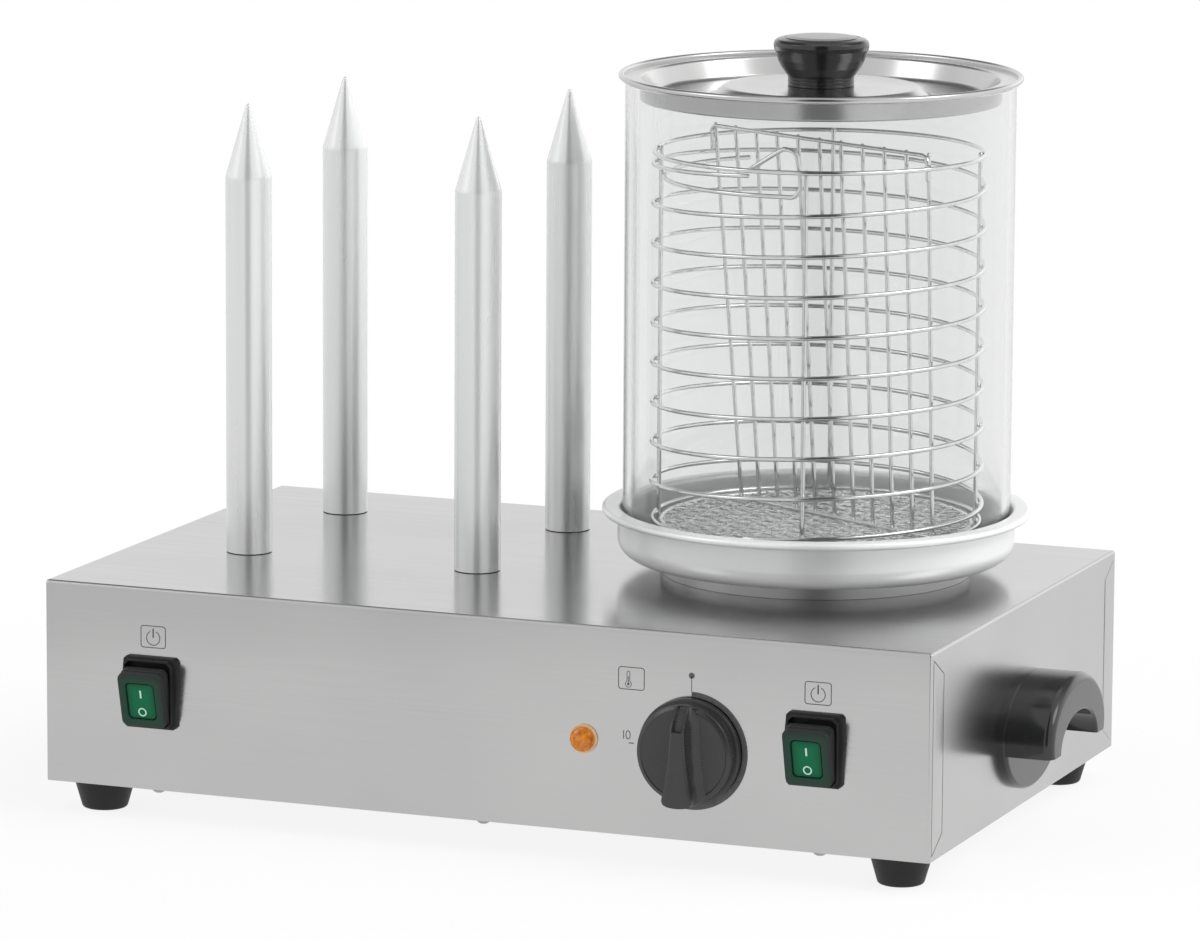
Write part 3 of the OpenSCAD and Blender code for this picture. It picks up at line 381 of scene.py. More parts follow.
rubber = newFinish("black moulded rubber", (grey(0.011), grey(0.016)), even(60), (0.46, 0.6),
    fine=even(900), bump=(0.12, 0.0002), fixed={"Specular IOR Level": 0.3})
blackPlastic = newFinish("black moulded plastic", ((0.025, 0.0255, 0.026), (0.032, 0.0325, 0.033)),
    even(40), (0.2, 0.28), fine=even(900, 2), bump=(0.012, 0.0001))
glossPlastic = newFinish("glossy black plastic", ((0.014, 0.0145, 0.015), (0.019, 0.0195, 0.02)), even(40),
    (0.11, 0.17), fine=even(700, 2), fixed={"IOR": 1.58})
spikeAluminium = newFinish("turned spike aluminium", ((0.795, 0.8, 0.805), (0.825, 0.83, 0.835)),
    (80, 80, 3, 1), (0.25, 0.28), metallic=0.5, fine=(80, 80, 3, 1))
panAluminium = newFinish("spun pan aluminium", ((0.86, 0.865, 0.87), (0.895, 0.9, 0.905)), (12, 12, 50, 1),
    0.29, metallic=0.27)
plateSteel = newFinish("satin plate steel", ((0.47, 0.47, 0.468), (0.53, 0.53, 0.527)), (20, 20, 60, 3),
    (0.36, 0.44), metallic=0.75, fine=even(30))
polishedSteel = newFinish("polished steel", ((0.53, 0.53, 0.527), (0.57, 0.57, 0.567)), even(30),
    (0.17, 0.24), metallic=1.0, fine=even(30))
basketWire = newFinish("drawn basket wire", (grey(0.78), grey(0.86)), even(260), (0.04, 0.09), metallic=1.0,
    fine=even(260))
floorWire = newFinish("pale mesh wire", (grey(0.68), grey(0.8)), even(200), (0.2, 0.32), metallic=0.7,
    fine=even(260))

clearGlass = newFinish("clear cylinder glass", ((0.82, 0.826, 0.824), (0.86, 0.866, 0.864)),
    (9, 9, 1.5, 3), 0.0, fixed={"IOR": 1.46, "Transmission Weight": 1.0})
# painted shade: the glass is tinted darker where its wall faces the camera and paler where it turns away;
# the body colour blends into a paler one by the facing angle
slantTint = {"blend": 0.5, "tint": (0.97, 0.975, 0.973, 1)}
glassTree = clearGlass.node_tree
glassTint = glassTree.nodes["Principled BSDF"].inputs["Base Color"]
slant = addNode(glassTree, "LayerWeight", {"Blend": slantTint["blend"]})["Facing"]
facingShadeMix = {0: slant, 6: glassTint.links[0].from_socket, 7: slantTint["tint"]}
glassTree.links.new(addNode(glassTree, "Mix", facingShadeMix, data_type="RGBA")[2], glassTint)

amberLens = newFinish("amber lamp lens", ((0.4, 0.085, 0.002), (0.78, 0.27, 0.006)), even(420), 0.2)
amberRim = newFinish("pale amber lamp flange", ((0.74, 0.48, 0.27), (0.84, 0.62, 0.4)), even(300), 0.3)
# rocker and boot: the tint goes from the base up to the middle of the face
greenRocker = newFinish("green rocker", ((0.0, 0.05, 0.022), (0.0, 0.135, 0.055)), None, 0.5,
    fine=even(900), bump=(0.05, 0.0001), levels=(0.45, 0.86), fixed={"Specular IOR Level": 0.2})
greenBoot = newFinish("tinted boot rubber", ((0.016, 0.017, 0.017), (0.004, 0.048, 0.027)), None, 0.5,
    fine=even(900), bump=(0.06, 0.0002), levels=(0.5, 0.78), fixed={"Specular IOR Level": 0.3})
# the dark print finish is also used for the painted shade line along the front corner tabs
panelPrint = newFinish("dark panel print and painted shade", (grey(0.075), grey(0.11)), even(300), 0.5)
mintPrint = newFinish("mint rocker print", ((0.44, 0.72, 0.58), (0.54, 0.82, 0.68)), even(400), 0.45)
palePlastic = newFinish("pale moulded plastic", ((0.62, 0.58, 0.46), (0.72, 0.69, 0.57)), even(50), 0.45)
copper = newFinish("drawn copper", ((0.62, 0.3, 0.17), (0.78, 0.44, 0.27)), even(90), 0.3, metallic=1.0)
zinc = newFinish("zinc plated steel", ((0.3, 0.3, 0.29), (0.4, 0.4, 0.39)), even(110), (0.24, 0.38),
    metallic=1.0, fine=even(240))

finishes = {"housing_steel": housingSteel, "rubber": rubber, "black_plastic": blackPlastic,
    "spike_aluminium": spikeAluminium, "pan_aluminium": panAluminium, "polished_steel": polishedSteel,
    "basket_wire": basketWire, "clear_glass": clearGlass, "amber_lens": amberLens,
    "green_lens": greenRocker, "pale_plastic": palePlastic, "copper": copper, "zinc_fasteners": zinc}
for subpart in frame["record"]["subparts"]:
    carried = frame["nodes"][subpart["node"]].data.materials
    carried.clear()
    carried.append(finishes[subpart["material_slot"]])
print("finishes made,", len(finishes), "slots")

# housing shell: rounded rectangles by inset and height, over the top, down the wall, round the flange
# and back inside
housing = {"bend": 1.8, "corner": 1.6, "sharpest": 0.25, "sheet": 1.2, "flange": 14.0, "plate": 1.5,
    "support": 1.4, "topInset": 60.0, "hem": ((0, 2.0), (0, 0.25), (0.2, 0))}
bend, sheet = housing["bend"], housing["sheet"]
insideBend, bendZ = bend - sheet, topZ - bend
plateTop = floorZ + housing["plate"]
foldInset = sheet + housing["flange"]
wallTop = bendZ - housing["support"]
shellRows = np.concatenate((
        [(housing["topInset"], topZ), (bend + housing["support"], topZ)],
        arcPoints((bend, bendZ), bend, 90, 180, 7),
        [(0, wallTop)], np.add(housing["hem"], (0, floorZ)),
        [(sheet, floorZ), (sheet, plateTop), (foldInset, plateTop), (foldInset, plateTop + sheet),
        (sheet, plateTop + sheet), (sheet, wallTop)],
        arcPoints((bend, bendZ), insideBend, 180, 90, 7),
        [(housing["topInset"], topZ - sheet)]))
shellSize = shellHi - shellLo
shellInset, shellLevel = shellRows.T
shellLoops = rectLoops(shellSize[0] - 2 * shellInset, shellSize[1] - 2 * shellInset,
    np.maximum(housing["corner"] - shellInset, housing["sharpest"]))
shellPart = gridPart(stacked(shellLoops, shellLevel, (0, midY, 0), flat))
makePiece("housingShell", [shellPart], housingSteel, "housing", "housing_shell")

# corner tabs folded round from the front and the back onto the sides, the front ones edged with a fine dark
# strip of painted shade
tab = {"width": 15.0, "lower": 3.0, "upper": 4.0, "slant": 9.0, "fromEnd": 2.5, "corner": 1.0,
    "levels": (-0.3, 0.13, 0.25), "drawn": 0.9856}
# painted shade: a thin dark strip in the print finish along each front tab's outline stands in for the
# shadow at its edge
tabShade = {"width": 0.3, "lift": 0.2}


# a tab's outline: out from the fold to its width with slanted ends, its corners rounded
def tabOutline(width, ring):
    low, high = floorZ + tab["lower"], topZ - tab["upper"]
    line = [(0, low), (width, low + tab["slant"]), (width, high - tab["slant"]), (0, high)]
    return rounded(line, tab["corner"], 5, ring)


# a low strip: the outline raised in three rows, the last drawn in towards its middle for a soft edge
def tabPart(width, origin, axes):
    outline = tabOutline(width, True)
    middle = outline.mean(axis=0)
    loops = np.stack((outline, outline, middle + (outline - middle) * tab["drawn"]))
    return gridPart(stacked(loops, tab["levels"], origin, axes))


tabParts = []
tabShadeParts = []
for sideX, axes in ((shellHi[0], onRight), (shellLo[0], onLeft)):
    width = axes[0, 1] * tab["width"]
    frontFold, backFold = (sideX, frontY + tab["fromEnd"], 0), (sideX, backY - tab["fromEnd"], 0)
    tabParts += [tabPart(width, frontFold, axes), tabPart(-width, backFold, axes)]
    tabShadeParts.append(printed(tabOutline(width, False), tabShade["width"], frontFold, axes, tabShade["lift"]))
makePiece("cornerTabs", tabParts, housingSteel, "housing")
makePiece("tabEdgeShade", tabShadeParts, panelPrint, "housing", weighted=False)

# base screws: dome heads with a cross pressed into them
screw = {"radius": 4.0, "height": 3.2, "slot": 0.45, "slotReach": 2.1, "slotDepth": 1.0, "sunk": 0.4,
    "alongEdges": (-180, 0, 180)}


# the head's height is an ellipse over its radius, less a cross where the point lies within the slot's width
def screwPart(centre):
    reach = np.concatenate((np.linspace(0.05, 1, 14) ** 0.8, [1, 1]))[:, None] * screw["radius"]
    angle = np.arange(48) / 48 * tau
    x, y = reach * np.cos(angle), reach * np.sin(angle)
    dome = screw["height"] * np.sqrt(np.maximum(1 - (reach / screw["radius"]) ** 2, 0))
    cross = (np.minimum(abs(x), abs(y)) < screw["slot"]) & (reach < screw["slotReach"])
    height = dome - screw["slotDepth"] * cross
    height[-1] = -screw["sunk"]
    return gridPart(np.asarray(centre, float) + np.stack((x, y, height), -1) @ underneath)


screwLo, screwHi = corners("base_screws") + np.array([[screw["radius"]], [-screw["radius"]]])
screwSpots = [(x, y, floorZ) for x in screw["alongEdges"] for y in (screwLo[1], screwHi[1])]
screwSpots += [(screwLo[0], midY, floorZ), (screwHi[0], midY, floorZ)]
makePiece("baseScrews", [screwPart(spot) for spot in screwSpots], zinc, "housing",
    "base_screws")

# feet: a tapered rubber profile with rounded edges and a screw pocket below
foot = {"topRadius": 16.25, "lowRadius": 11.5, "pocketRadius": 6.0, "pocket": 6.0,
    "edges": (0.3, 0.6, 2.0, 0.4)}
for place in fourPlaces:
    node = "foot_" + place
    footTop = levelsOf(node)[1]
    footProfile = rounded([(0, foot["pocket"]), (foot["pocketRadius"], foot["pocket"]),
            (foot["pocketRadius"], 0), (foot["lowRadius"], 0), (foot["topRadius"], footTop),
            (0, footTop)], foot["edges"], 6)
    footPart = turned(footProfile, middleOf(node, 2, 0), count=72)
    makePiece(node, [footPart], rubber, "housing", node)
print("housing, screws and feet made")

# handles: an oval base, and a hood whose rounded section runs along the arch from leg to leg
handle = {"base": 5.0, "baseEdge": 2.0, "baseInset": 14.0, "sunk": 1.0, "rise": 4.0,
    "finger": (29.0, 17.0), "legDrop": 6.0, "edge": 4.8, "inner": 1.4}


# base: ovals drawn in round a quarter circle; hood: a section from the finger hollow to the outer oval,
# rounded at its two far edges, for each step along the arch
def handleParts(node, axes):
    lo, hi = corners(node)
    reach, halfWide, halfHigh = (hi - lo) * (1, 0.5, 0.5)
    origin = (lo[0] if axes[2, 0] > 0 else hi[0], midY, (lo[2] + hi[2]) / 2)
    thick, curve = handle["base"], handle["baseEdge"]
    baseRows = np.concatenate(([(0, 0)], arcPoints((curve, thick - curve), curve, 180, 90, 6),
            [(handle["baseInset"], thick)]))
    angle = np.arange(96) / 96 * tau
    wide, high = halfWide - baseRows[:, :1], halfHigh - baseRows[:, :1]
    oval = np.stack((wide * np.cos(angle), high * np.sin(angle)), -1)
    base = gridPart(stacked(oval, baseRows[:, 1], origin, axes))
    legTurn = np.degrees(np.arcsin(-handle["legDrop"] / halfHigh))
    outer = arcPoints((0, 0), (halfWide, halfHigh), legTurn, 180 - legTurn, 72)
    inner = arcPoints((0, -handle["legDrop"]), handle["finger"], 0, 180, 72)
    across = unit(outer - inner)[:, None]
    soft, edge = handle["inner"], handle["edge"]
    legRows = np.array([(0, thick - handle["sunk"]), (0, thick + handle["rise"])])
    innerRows = np.concatenate((legRows, arcPoints((soft, reach - soft), soft, 180, 90, 7)))
    outerRows = np.concatenate((arcPoints((edge, reach - edge), edge, 90, 180, 7), legRows[::-1]))
    section = np.concatenate((inner[:, None] + across * innerRows[:, :1],
            outer[:, None] - across * outerRows[:, :1]), 1)
    heights = np.concatenate((innerRows, outerRows))[None, :, 1]
    return [base, gridPart(stacked(section, heights, origin, axes))]


for node, axes in (("handle_left", onLeft), ("handle_right", onRight)):
    makePiece(node, handleParts(node, axes), glossPlastic, "housing", node, 50)
print("handles made")

# cable gland: a hexagon, a ribbed cap and a bore
gland = {"hex": 13.5, "hexThick": 6.0, "cap": 11.5, "bore": 4.2,
    "ribs": 24, "ribDepth": 0.035, "count": 144}
glandReach = corners("cable_gland")[1][1] - backY
hexReach, hexTop, cap, bore = (gland[key] for key in ("hex", "hexThick", "cap", "bore"))
glandProfile = [(bore, 0), (hexReach, 0), (hexReach, hexTop - 1), (hexReach - 0.8, hexTop),
    (cap - 0.6, hexTop), (cap, hexTop + 0.8), (cap, glandReach - 4), (cap - 0.8, glandReach - 2),
    (cap - 2.2, glandReach - 0.4), (bore + 1, glandReach), (bore, glandReach - 0.8), (bore, 1)]
glandTurn = np.arange(gland["count"]) / gland["count"] * tau
glandWaves = np.ones((len(glandProfile), gland["count"]))
glandWaves[1:4] = np.cos(np.pi / 6) / np.cos(glandTurn % (np.pi / 3) - np.pi / 6)
glandWaves[5:8] = 1 - gland["ribDepth"] * (0.5 - 0.5 * np.cos(gland["ribs"] * glandTurn)) ** 2
glandAt = middleOf("cable_gland", 1, backY)
glandPart = turned(glandProfile, glandAt, onBack, gland["count"], glandWaves, True)
makePiece("cableGland", [glandPart], blackPlastic, "housing", "cable_gland", 30)

# bun spikes: a straight turned post with a long point, whose foot is a thin skirt over its own seal
spike = {"point": 38.0, "shoulder": 8.0, "tip": 1.6, "tipRadius": 1.3, "tipDrop": 1.0,
    "skirtGap": 0.15, "skirtLift": 0.25, "edges": (0.1, 0.1, 0.25), "support": 3.0}
seal = {"inset": 0.9, "soft": 0.2, "bore": 6.0}
spikeMiddles = [middleOf("spike_" + place, 2, 0) for place in fourPlaces]
sealLo, sealHi = corners("spike_seals")
sealTop = sealHi[2]
sealRadius = spikeMiddles[0][0] - sealLo[0] - seal["inset"]
skirtInside, skirtLow = sealRadius + spike["skirtGap"], topZ + spike["skirtLift"]
for place, middle in zip(fourPlaces, spikeMiddles):
    node = "spike_" + place
    spikeRadius, spikeTop = reachOf(node), levelsOf(node)[1]
    shoulder = spikeTop - spike["point"]
    postLow, postTop = sealTop + spike["support"], shoulder - spike["support"]
    spikeFoot = rounded([(0, sealTop), (skirtInside, sealTop), (skirtInside, skirtLow),
            (spikeRadius, skirtLow), (spikeRadius, postLow)], spike["edges"], 5)
    spikePost = [(spikeRadius, z) for z in np.linspace(postLow, postTop, 12)[1:-1]]
    spikePoint = rounded([(spikeRadius, postTop), (spikeRadius, shoulder),
            (spike["tipRadius"], spikeTop - spike["tipDrop"]), (0, spikeTop)],
        (spike["shoulder"], spike["tip"]), 9)
    spikePart = turned(np.concatenate((spikeFoot, spikePost, spikePoint)), middle)
    makePiece(node, [spikePart], spikeAluminium, "housing", node, 60)
sealSection = wallSection(seal["bore"], sealRadius, topZ, sealTop, seal["soft"], 4)
sealParts = [turned(sealSection, middle, count=72, ring=True) for middle in spikeMiddles]
makePiece("spikeSeals", sealParts, rubber, "housing", "spike_seals")

# heating plate: a satin disc with a softened edge on the housing, set into its top
plate = {"setIn": 60.0, "lift": 0.05, "edges": (0.3, 0.1, 0.1, 1.2)}
plateRadius, plateHigh = reachOf("heating_plate"), levelsOf("heating_plate")[1]
plateLow, plateUnder = topZ - sheet, topZ + plate["lift"]
plateProfile = rounded([(0, plateLow), (plate["setIn"], plateLow), (plate["setIn"], plateUnder),
        (plateRadius, plateUnder), (plateRadius, plateHigh), (0, plateHigh)], plate["edges"], 6)
makePiece("heatingPlate", [turned(plateProfile, steamer, count=144)], plateSteel, "housing",
    "heating_plate")
print("gland, spikes and heating plate made")

# water pan: floor, rounded edge, wall and a flat rim that ends in a rolled bead
pan = {"wall": 1.5, "edge": 10.0, "bead": 2.0, "lip": 8.0, "underLip": 1.6, "overLip": 2.4,
    "beadFrom": -151.2, "flatUnder": 1.2, "flatOver": 1.0}
panReach, (panLow, panTop) = reachOf("water_pan"), levelsOf("water_pan")
panRadius, panFlat = panReach - pan["lip"], panReach - pan["bead"]
panInside, panFloor, panUnder = panRadius - pan["wall"], panLow + pan["wall"], panTop - pan["wall"]
panOut = rounded([(0, panLow), (panRadius, panLow), (panRadius, panUnder),
        (panFlat - pan["flatUnder"], panUnder)], (pan["edge"], pan["underLip"]), 10)
panBead = arcPoints((panFlat, panTop - pan["bead"]), pan["bead"], pan["beadFrom"], 90, 18)
panIn = rounded([(panFlat - pan["flatOver"], panTop), (panInside, panTop), (panInside, panFloor),
        (0, panFloor)], (pan["overLip"], pan["edge"] - pan["wall"]), 10)
panPart = turned(np.concatenate((panOut, panBead, panIn)), steamer, count=160)
makePiece("waterPan", [panPart], panAluminium, "pan", "water_pan", 50)

# glass cylinder: a closed wall section with fire-rounded edges
glass = {"wall": 4.0, "edge": 1.3}
glassRadius = reachOf("glass_cylinder")
glassSection = wallSection(glassRadius - glass["wall"], glassRadius, glassLow, glassTop, glass["edge"], 7)
glassPart = turned(glassSection, steamer, count=192, ring=True)
makePiece("glassCylinder", [glassPart], clearGlass, "glass", "glass_cylinder", 60)
print("pan and glass made")

# lid: rolled rim on the glass edge, skirt, valley and raised middle, one sheet thick
lid = {"sheet": 1.0, "bead": 1.6, "skirt": 92.5, "skirtIn": 0.8, "valley": 87.5, "domeLow": 58.0,
    "domeTop": 50.0, "domeIn": 0.5, "drop": 10.0, "sink": 3.0, "seat": 4.0,
    "upperEdges": (2.0, 2.4, 2.4, 4.5), "underEdges": (4.0, 4.0, 1.4, 1.0)}
lidRim = reachOf("lid_shell") - lid["bead"]
knobLow, knobTop = levelsOf("lid_knob")
lidTop, valleyZ = knobLow - lid["sink"], glassTop - lid["drop"]
lidInner, rimUpper, valleyUpper = lidTop - lid["sheet"], glassTop + lid["sheet"], valleyZ + lid["sheet"]
lidUnder = rounded([(0, lidInner), (lid["domeTop"] - lid["domeIn"], lidInner),
        (lid["domeLow"] - lid["domeIn"], valleyZ), (lid["skirt"], valleyZ), (lid["skirt"], glassTop),
        (lid["skirt"] + lid["seat"], glassTop)], lid["underEdges"], 8)
lidBead = arcPoints((lidRim, glassTop + lid["bead"]), lid["bead"], -90, 180, 20)
lidUpper = rounded([(lidRim - lid["bead"], rimUpper), (lid["skirt"] - lid["skirtIn"], rimUpper),
        (lid["valley"], valleyUpper), (lid["domeLow"], valleyUpper), (lid["domeTop"], lidTop),
        (0, lidTop)], lid["upperEdges"], 10)
lidPart = turned(np.concatenate((lidUnder, lidBead, lidUpper)), steamer, count=192)
makePiece("lidShell", [lidPart], polishedSteel, "lid", "lid_shell", 50)

# lid knob: (radius, height) pairs from neck to crown, with two fine grooves
lidKnob = {"profile": [(0, 0), (17.0, 0), (17.0, 1.1), (16.6, 1.35), (17.0, 1.6), (17.0, 3.1), (16.6, 3.35),
        (17.0, 3.6), (17.1, 4.8), (18.3, 6.4), (20.6, 9.8), (22.4, 13.6), (23.6, 17.4),
        (24.1, 18.6), (24.5, 20.8), (24.1, 22.7), (22.6, 23.9), (19.6, 24.6), (19.0, 24.2),
        (18.5, 24.8), (14.0, 25.3), (0, 25.5)], "height": 25.5, "soft": 0.8}
knobProfile = rounded(lidKnob["profile"], lidKnob["soft"], 5) * (1, (knobTop - lidTop) / lidKnob["height"])
lidKnobPart = turned(knobProfile, steamer + (0, 0, lidTop), count=120)
makePiece("lidKnob", [lidKnobPart], glossPlastic, "lid", "lid_knob", 60)
print("lid made")

# basket wires about the steamer's axis
basket = {"wire": 1.2, "ring": 84.57, "coil": 85.3, "turns": 9, "coilStart": -95.0, "coilClear": 2.55,
    "upright": 82.02, "uprightTurn": 15.0, "weld": (1.5, 1.2)}
wire, coilTurns = basket["wire"], basket["turns"]
ringTop, ringLow = levelsOf("basket_top_ring").mean(), levelsOf("basket_bottom_ring").mean()


# points round the steamer's axis: radius, angle and height each a number or an array
def around(radius, angle, height):
    angle = np.radians(angle)
    spots = np.broadcast_arrays(radius * np.cos(angle), radius * np.sin(angle), height)
    return steamer + np.stack(spots, -1)


# a wire piece of the basket: it stands for one node, and its tubes keep their own smooth shading
def wirePiece(name, parts, node, finish=basketWire):
    makePiece(name, parts, finish, "basket", node, weighted=False)


fullTurn = np.arange(144) / 144 * 360
for node, height in (("basket_top_ring", ringTop), ("basket_bottom_ring", ringLow)):
    wirePiece(node, [tube(around(basket["ring"], fullTurn, height), wire, ring=True)], node)

# side coil: the height falls evenly while the angle runs clockwise
coilShare = np.linspace(0, 1, coilTurns * 72 + 1)
coilTop, coilDrop = ringTop - basket["coilClear"], ringTop - ringLow - 2 * basket["coilClear"]
coilTurn = basket["coilStart"] - 360 * coilTurns * coilShare
coilPath = around(basket["coil"], coilTurn, coilTop - coilDrop * coilShare)
wirePiece("basketCoil", [tube(coilPath, wire)], "basket_coil")

# uprights: straight wires down to the pan's floor, a weld bead at each crossing with the coil and the rings
uprightLow, uprightTop = levelsOf("basket_uprights")
uprightTurns = basket["uprightTurn"] + np.arange(4) * 90
uprightZ = np.linspace(uprightLow + wire, uprightTop - wire, 30)
uprightParts = [tube(around(basket["upright"], turn, uprightZ), wire, (1, 0, 0)) for turn in uprightTurns]
weldProfile = arcPoints((0, 0), basket["weld"], -90, 90, 7)
weldReach = (basket["upright"] + basket["coil"]) / 2
for turn in uprightTurns:
    crossings = ((basket["coilStart"] - turn) % 360 / 360 + np.arange(coilTurns)) / coilTurns
    for height in (*(coilTop - coilDrop * crossings), ringTop, ringLow):
        uprightParts.append(turned(weldProfile, around(weldReach, turn, height), count=10))
wirePiece("basketUprights", uprightParts, "basket_uprights")

# divider: upright wires welded to two rails, the upper rail bent down at its ends; the frame leans a little
divider = {"wire": 1.1, "half": 76.0, "turn": -27.0, "count": 11, "hook": 12.0, "beside": 2.1, "bend": 4.0,
    "past": 0.3, "lowLean": (11.0, 6.0), "topLean": (-5.8, 1.5)}
railLow, railTop = levelsOf("basket_divider") + (divider["wire"], -divider["wire"])
railEnd, hookZ = divider["half"], railTop - divider["hook"]


# along and beside the divider's line, turned to its angle; the lean blends from end to end of each rail,
# and from the lower rail to the upper
def onDivider(along, beside, height):
    along, beside, height = np.broadcast_arrays(along, beside, height)
    turn = np.radians(divider["turn"])
    rise = (height - railLow) / (railTop - railLow)
    lowLean = np.interp(along, (-railEnd, railEnd), divider["lowLean"])
    topLean = np.interp(along, (-railEnd, railEnd), divider["topLean"])
    x = along * np.cos(turn) - beside * np.sin(turn) + lowLean * (1 - rise) + topLean * rise
    return steamer + np.stack((x, along * np.sin(turn) + beside * np.cos(turn), height), -1)


railLine = [(-railEnd, hookZ), (-railEnd, railTop), (railEnd, railTop), (railEnd, hookZ)]
topRail = rounded(railLine, divider["bend"], 8)
lowRail = onDivider(np.linspace(-railEnd, railEnd, 12), 0.0, railLow)
dividerParts = [tube(onDivider(topRail[:, 0], 0.0, topRail[:, 1]), divider["wire"], (0.45, 0.9, 0)),
    tube(lowRail, divider["wire"])]
dividerZ = np.linspace(railLow - divider["past"], railTop + divider["past"], 12)
for along in np.linspace(divider["wire"] - railEnd, railEnd - divider["wire"], divider["count"]):
    dividerParts.append(tube(onDivider(along, divider["beside"], dividerZ), divider["wire"], (1, 0, 0)))
wirePiece("basketDivider", dividerParts, "basket_divider")

# lifting loop: a bow inside the coil, a neck up over the top ring by angle and height, and down to it
loop = {"radius": 79.47, "height": 327.0, "from": 138.0, "to": 280.0, "end": 264.0, "lean": (0.3, 0.2, 1),
    "neck": ((282, 329), (283, 333), (282, 344), (281, 349), (278, 351), (275, 350))}
loopTurn = np.linspace(loop["from"], loop["to"], 40)
neckTurn, neckZ = np.transpose(loop["neck"])
loopTurn = np.concatenate((loopTurn, neckTurn, [loop["end"]]))
loopZ = np.concatenate((np.full(40, loop["height"]), neckZ, [ringTop]))
loopPath = smoothPath(around(loop["radius"], loopTurn, loopZ), 5)
wirePiece("basketHandle", [tube(loopPath, wire, loop["lean"])], "basket_handle")

# floor mesh: two layers of waved wires, over and under each other, inside a rim
netting = {"radius": 80.0, "pitch": 8.0, "wire": 0.6, "rim": 1.2, "offset": 0.01}
nettingZ = levelsOf("basket_floor").mean()


# one mesh wire: a chord of the disc whose height swings once over each two crossings
def nettingWire(offset, turn, phase):
    reach = np.sqrt(netting["radius"] ** 2 - offset ** 2)
    along = np.linspace(-reach, reach, 2 * int(2 * reach / netting["pitch"]) + 3)
    swing = netting["wire"] * np.cos(along / netting["pitch"] * np.pi + phase)
    x = along * np.cos(turn) - offset * np.sin(turn)
    y = along * np.sin(turn) + offset * np.cos(turn)
    return tube(steamer + np.stack((x, y, nettingZ + swing), -1), netting["wire"], (0.1, 0.1, 1), 5)


halfCount = int(netting["radius"] / netting["pitch"])
nettingParts = [nettingWire(i * netting["pitch"] + netting["offset"], turn, np.pi * (i + layer))
    for layer, turn in ((0, tau / 8), (1, 3 * tau / 8)) for i in range(1 - halfCount, halfCount)]
nettingRim = around(netting["radius"], fullTurn, nettingZ)
nettingParts.append(tube(nettingRim, netting["rim"], count=10, ring=True))
wirePiece("basketFloor", nettingParts, "basket_floor", floorWire)
print("basket made")

# control knob: a turned skirt and drum, and a grip whose section changes along its length
knob = {"skirt": 27.0, "gap": 1.0, "skirtTop": 4.0, "drum": 25.2, "face": 11.5, "faceRim": 22.3,
    "dish": 0.5, "bore": 4.0, "dishReach": 12.0, "edges": (0.4, 0.9, 0.3, 0.3, 0.4, 1.0, 0.5, 0.3, 2.0),
    "reach": 25.3, "crest": 21.0, "flare": (2.2, 6.0), "crestEnd": 13.6, "rampEnd": 24.8, "pocket": 2.3,
    "pocketFrom": 13.0, "pocketDepth": 2.6, "brow": 0.07, "sunk": 1.5,
    "coarse": (-26, 12, 40), "fine": (12.5, 25, 30),
    "halfWidths": ((-26, 5.6), (-24, 7.2), (-22.5, 8.0), (-21, 7.9), (-14, 6.3), (0, 4.4), (12, 3.7),
        (26, 3.6))}
knobAt = middleOf("control_knob", 1, frontY)
skirt, skirtTop, drum = knob["skirt"], knob["skirtTop"], knob["drum"]
face, faceRim = knob["face"], knob["faceRim"]
dishZ = face - knob["dish"]
drumProfile = rounded([(knob["bore"], knob["gap"]), (skirt, knob["gap"]), (skirt, skirtTop),
        (drum - 0.4, skirtTop + 0.2), (drum - 0.6, skirtTop + 1.4), (drum, skirtTop + 1.8),
        (drum - 0.2, face - 1.2), (faceRim + 0.6, face - 0.1), (faceRim, face - 0.5),
        (knob["dishReach"], dishZ), (0, dishZ)], knob["edges"], 5)

# grip: half width, crest and flare by the distance along it; the flanks are hollow and both ends keep to
# the circle
alongGrip = np.concatenate((np.linspace(*knob["coarse"]), np.linspace(*knob["fine"])))[:, None]
halfWidth = np.interp(alongGrip, *np.transpose(knob["halfWidths"]))
ramp = np.clip((alongGrip - knob["crestEnd"]) / (knob["rampEnd"] - knob["crestEnd"]), 0, 1)
crest = knob["crest"] - (knob["crest"] - face) * ramp ** 1.6
rise = np.linspace(0, 1, 9)
fall = rise[::-1]
brow = np.linspace(-1, 1, 15)
flank = 1 - knob["brow"]
acrossGrip = np.concatenate((-1 - 0 * rise, brow, 1 + 0 * fall))
levelGrip = np.concatenate((rise * flank, 1 - knob["brow"] * abs(brow) ** 6, fall * flank))
flare = np.concatenate((-knob["flare"][0] * fall ** 1.6, 0 * brow, knob["flare"][1] * rise ** 2.4))
gripBase = face - knob["sunk"]
gripX = acrossGrip * halfWidth + flare
pocket = (abs(gripX) < knob["pocket"]) & (alongGrip > knob["pocketFrom"]) & (levelGrip > 0.95)
gripZ = gripBase + (crest - gripBase) * levelGrip - knob["pocketDepth"] * pocket
gripZ = np.maximum(gripZ, gripBase)
edgeOfCircle = np.sqrt(np.maximum(knob["reach"] ** 2 - gripX ** 2, 0))
gripY = np.clip(alongGrip + 0 * gripX, -edgeOfCircle, edgeOfCircle - 0.4)
gripPart = gridPart(knobAt + np.stack((gripX, gripY, gripZ), -1) @ onFront)
makePiece("controlKnob", [turned(drumProfile, knobAt, onFront, 144), gripPart], blackPlastic, "knob",
    "control_knob", 45)

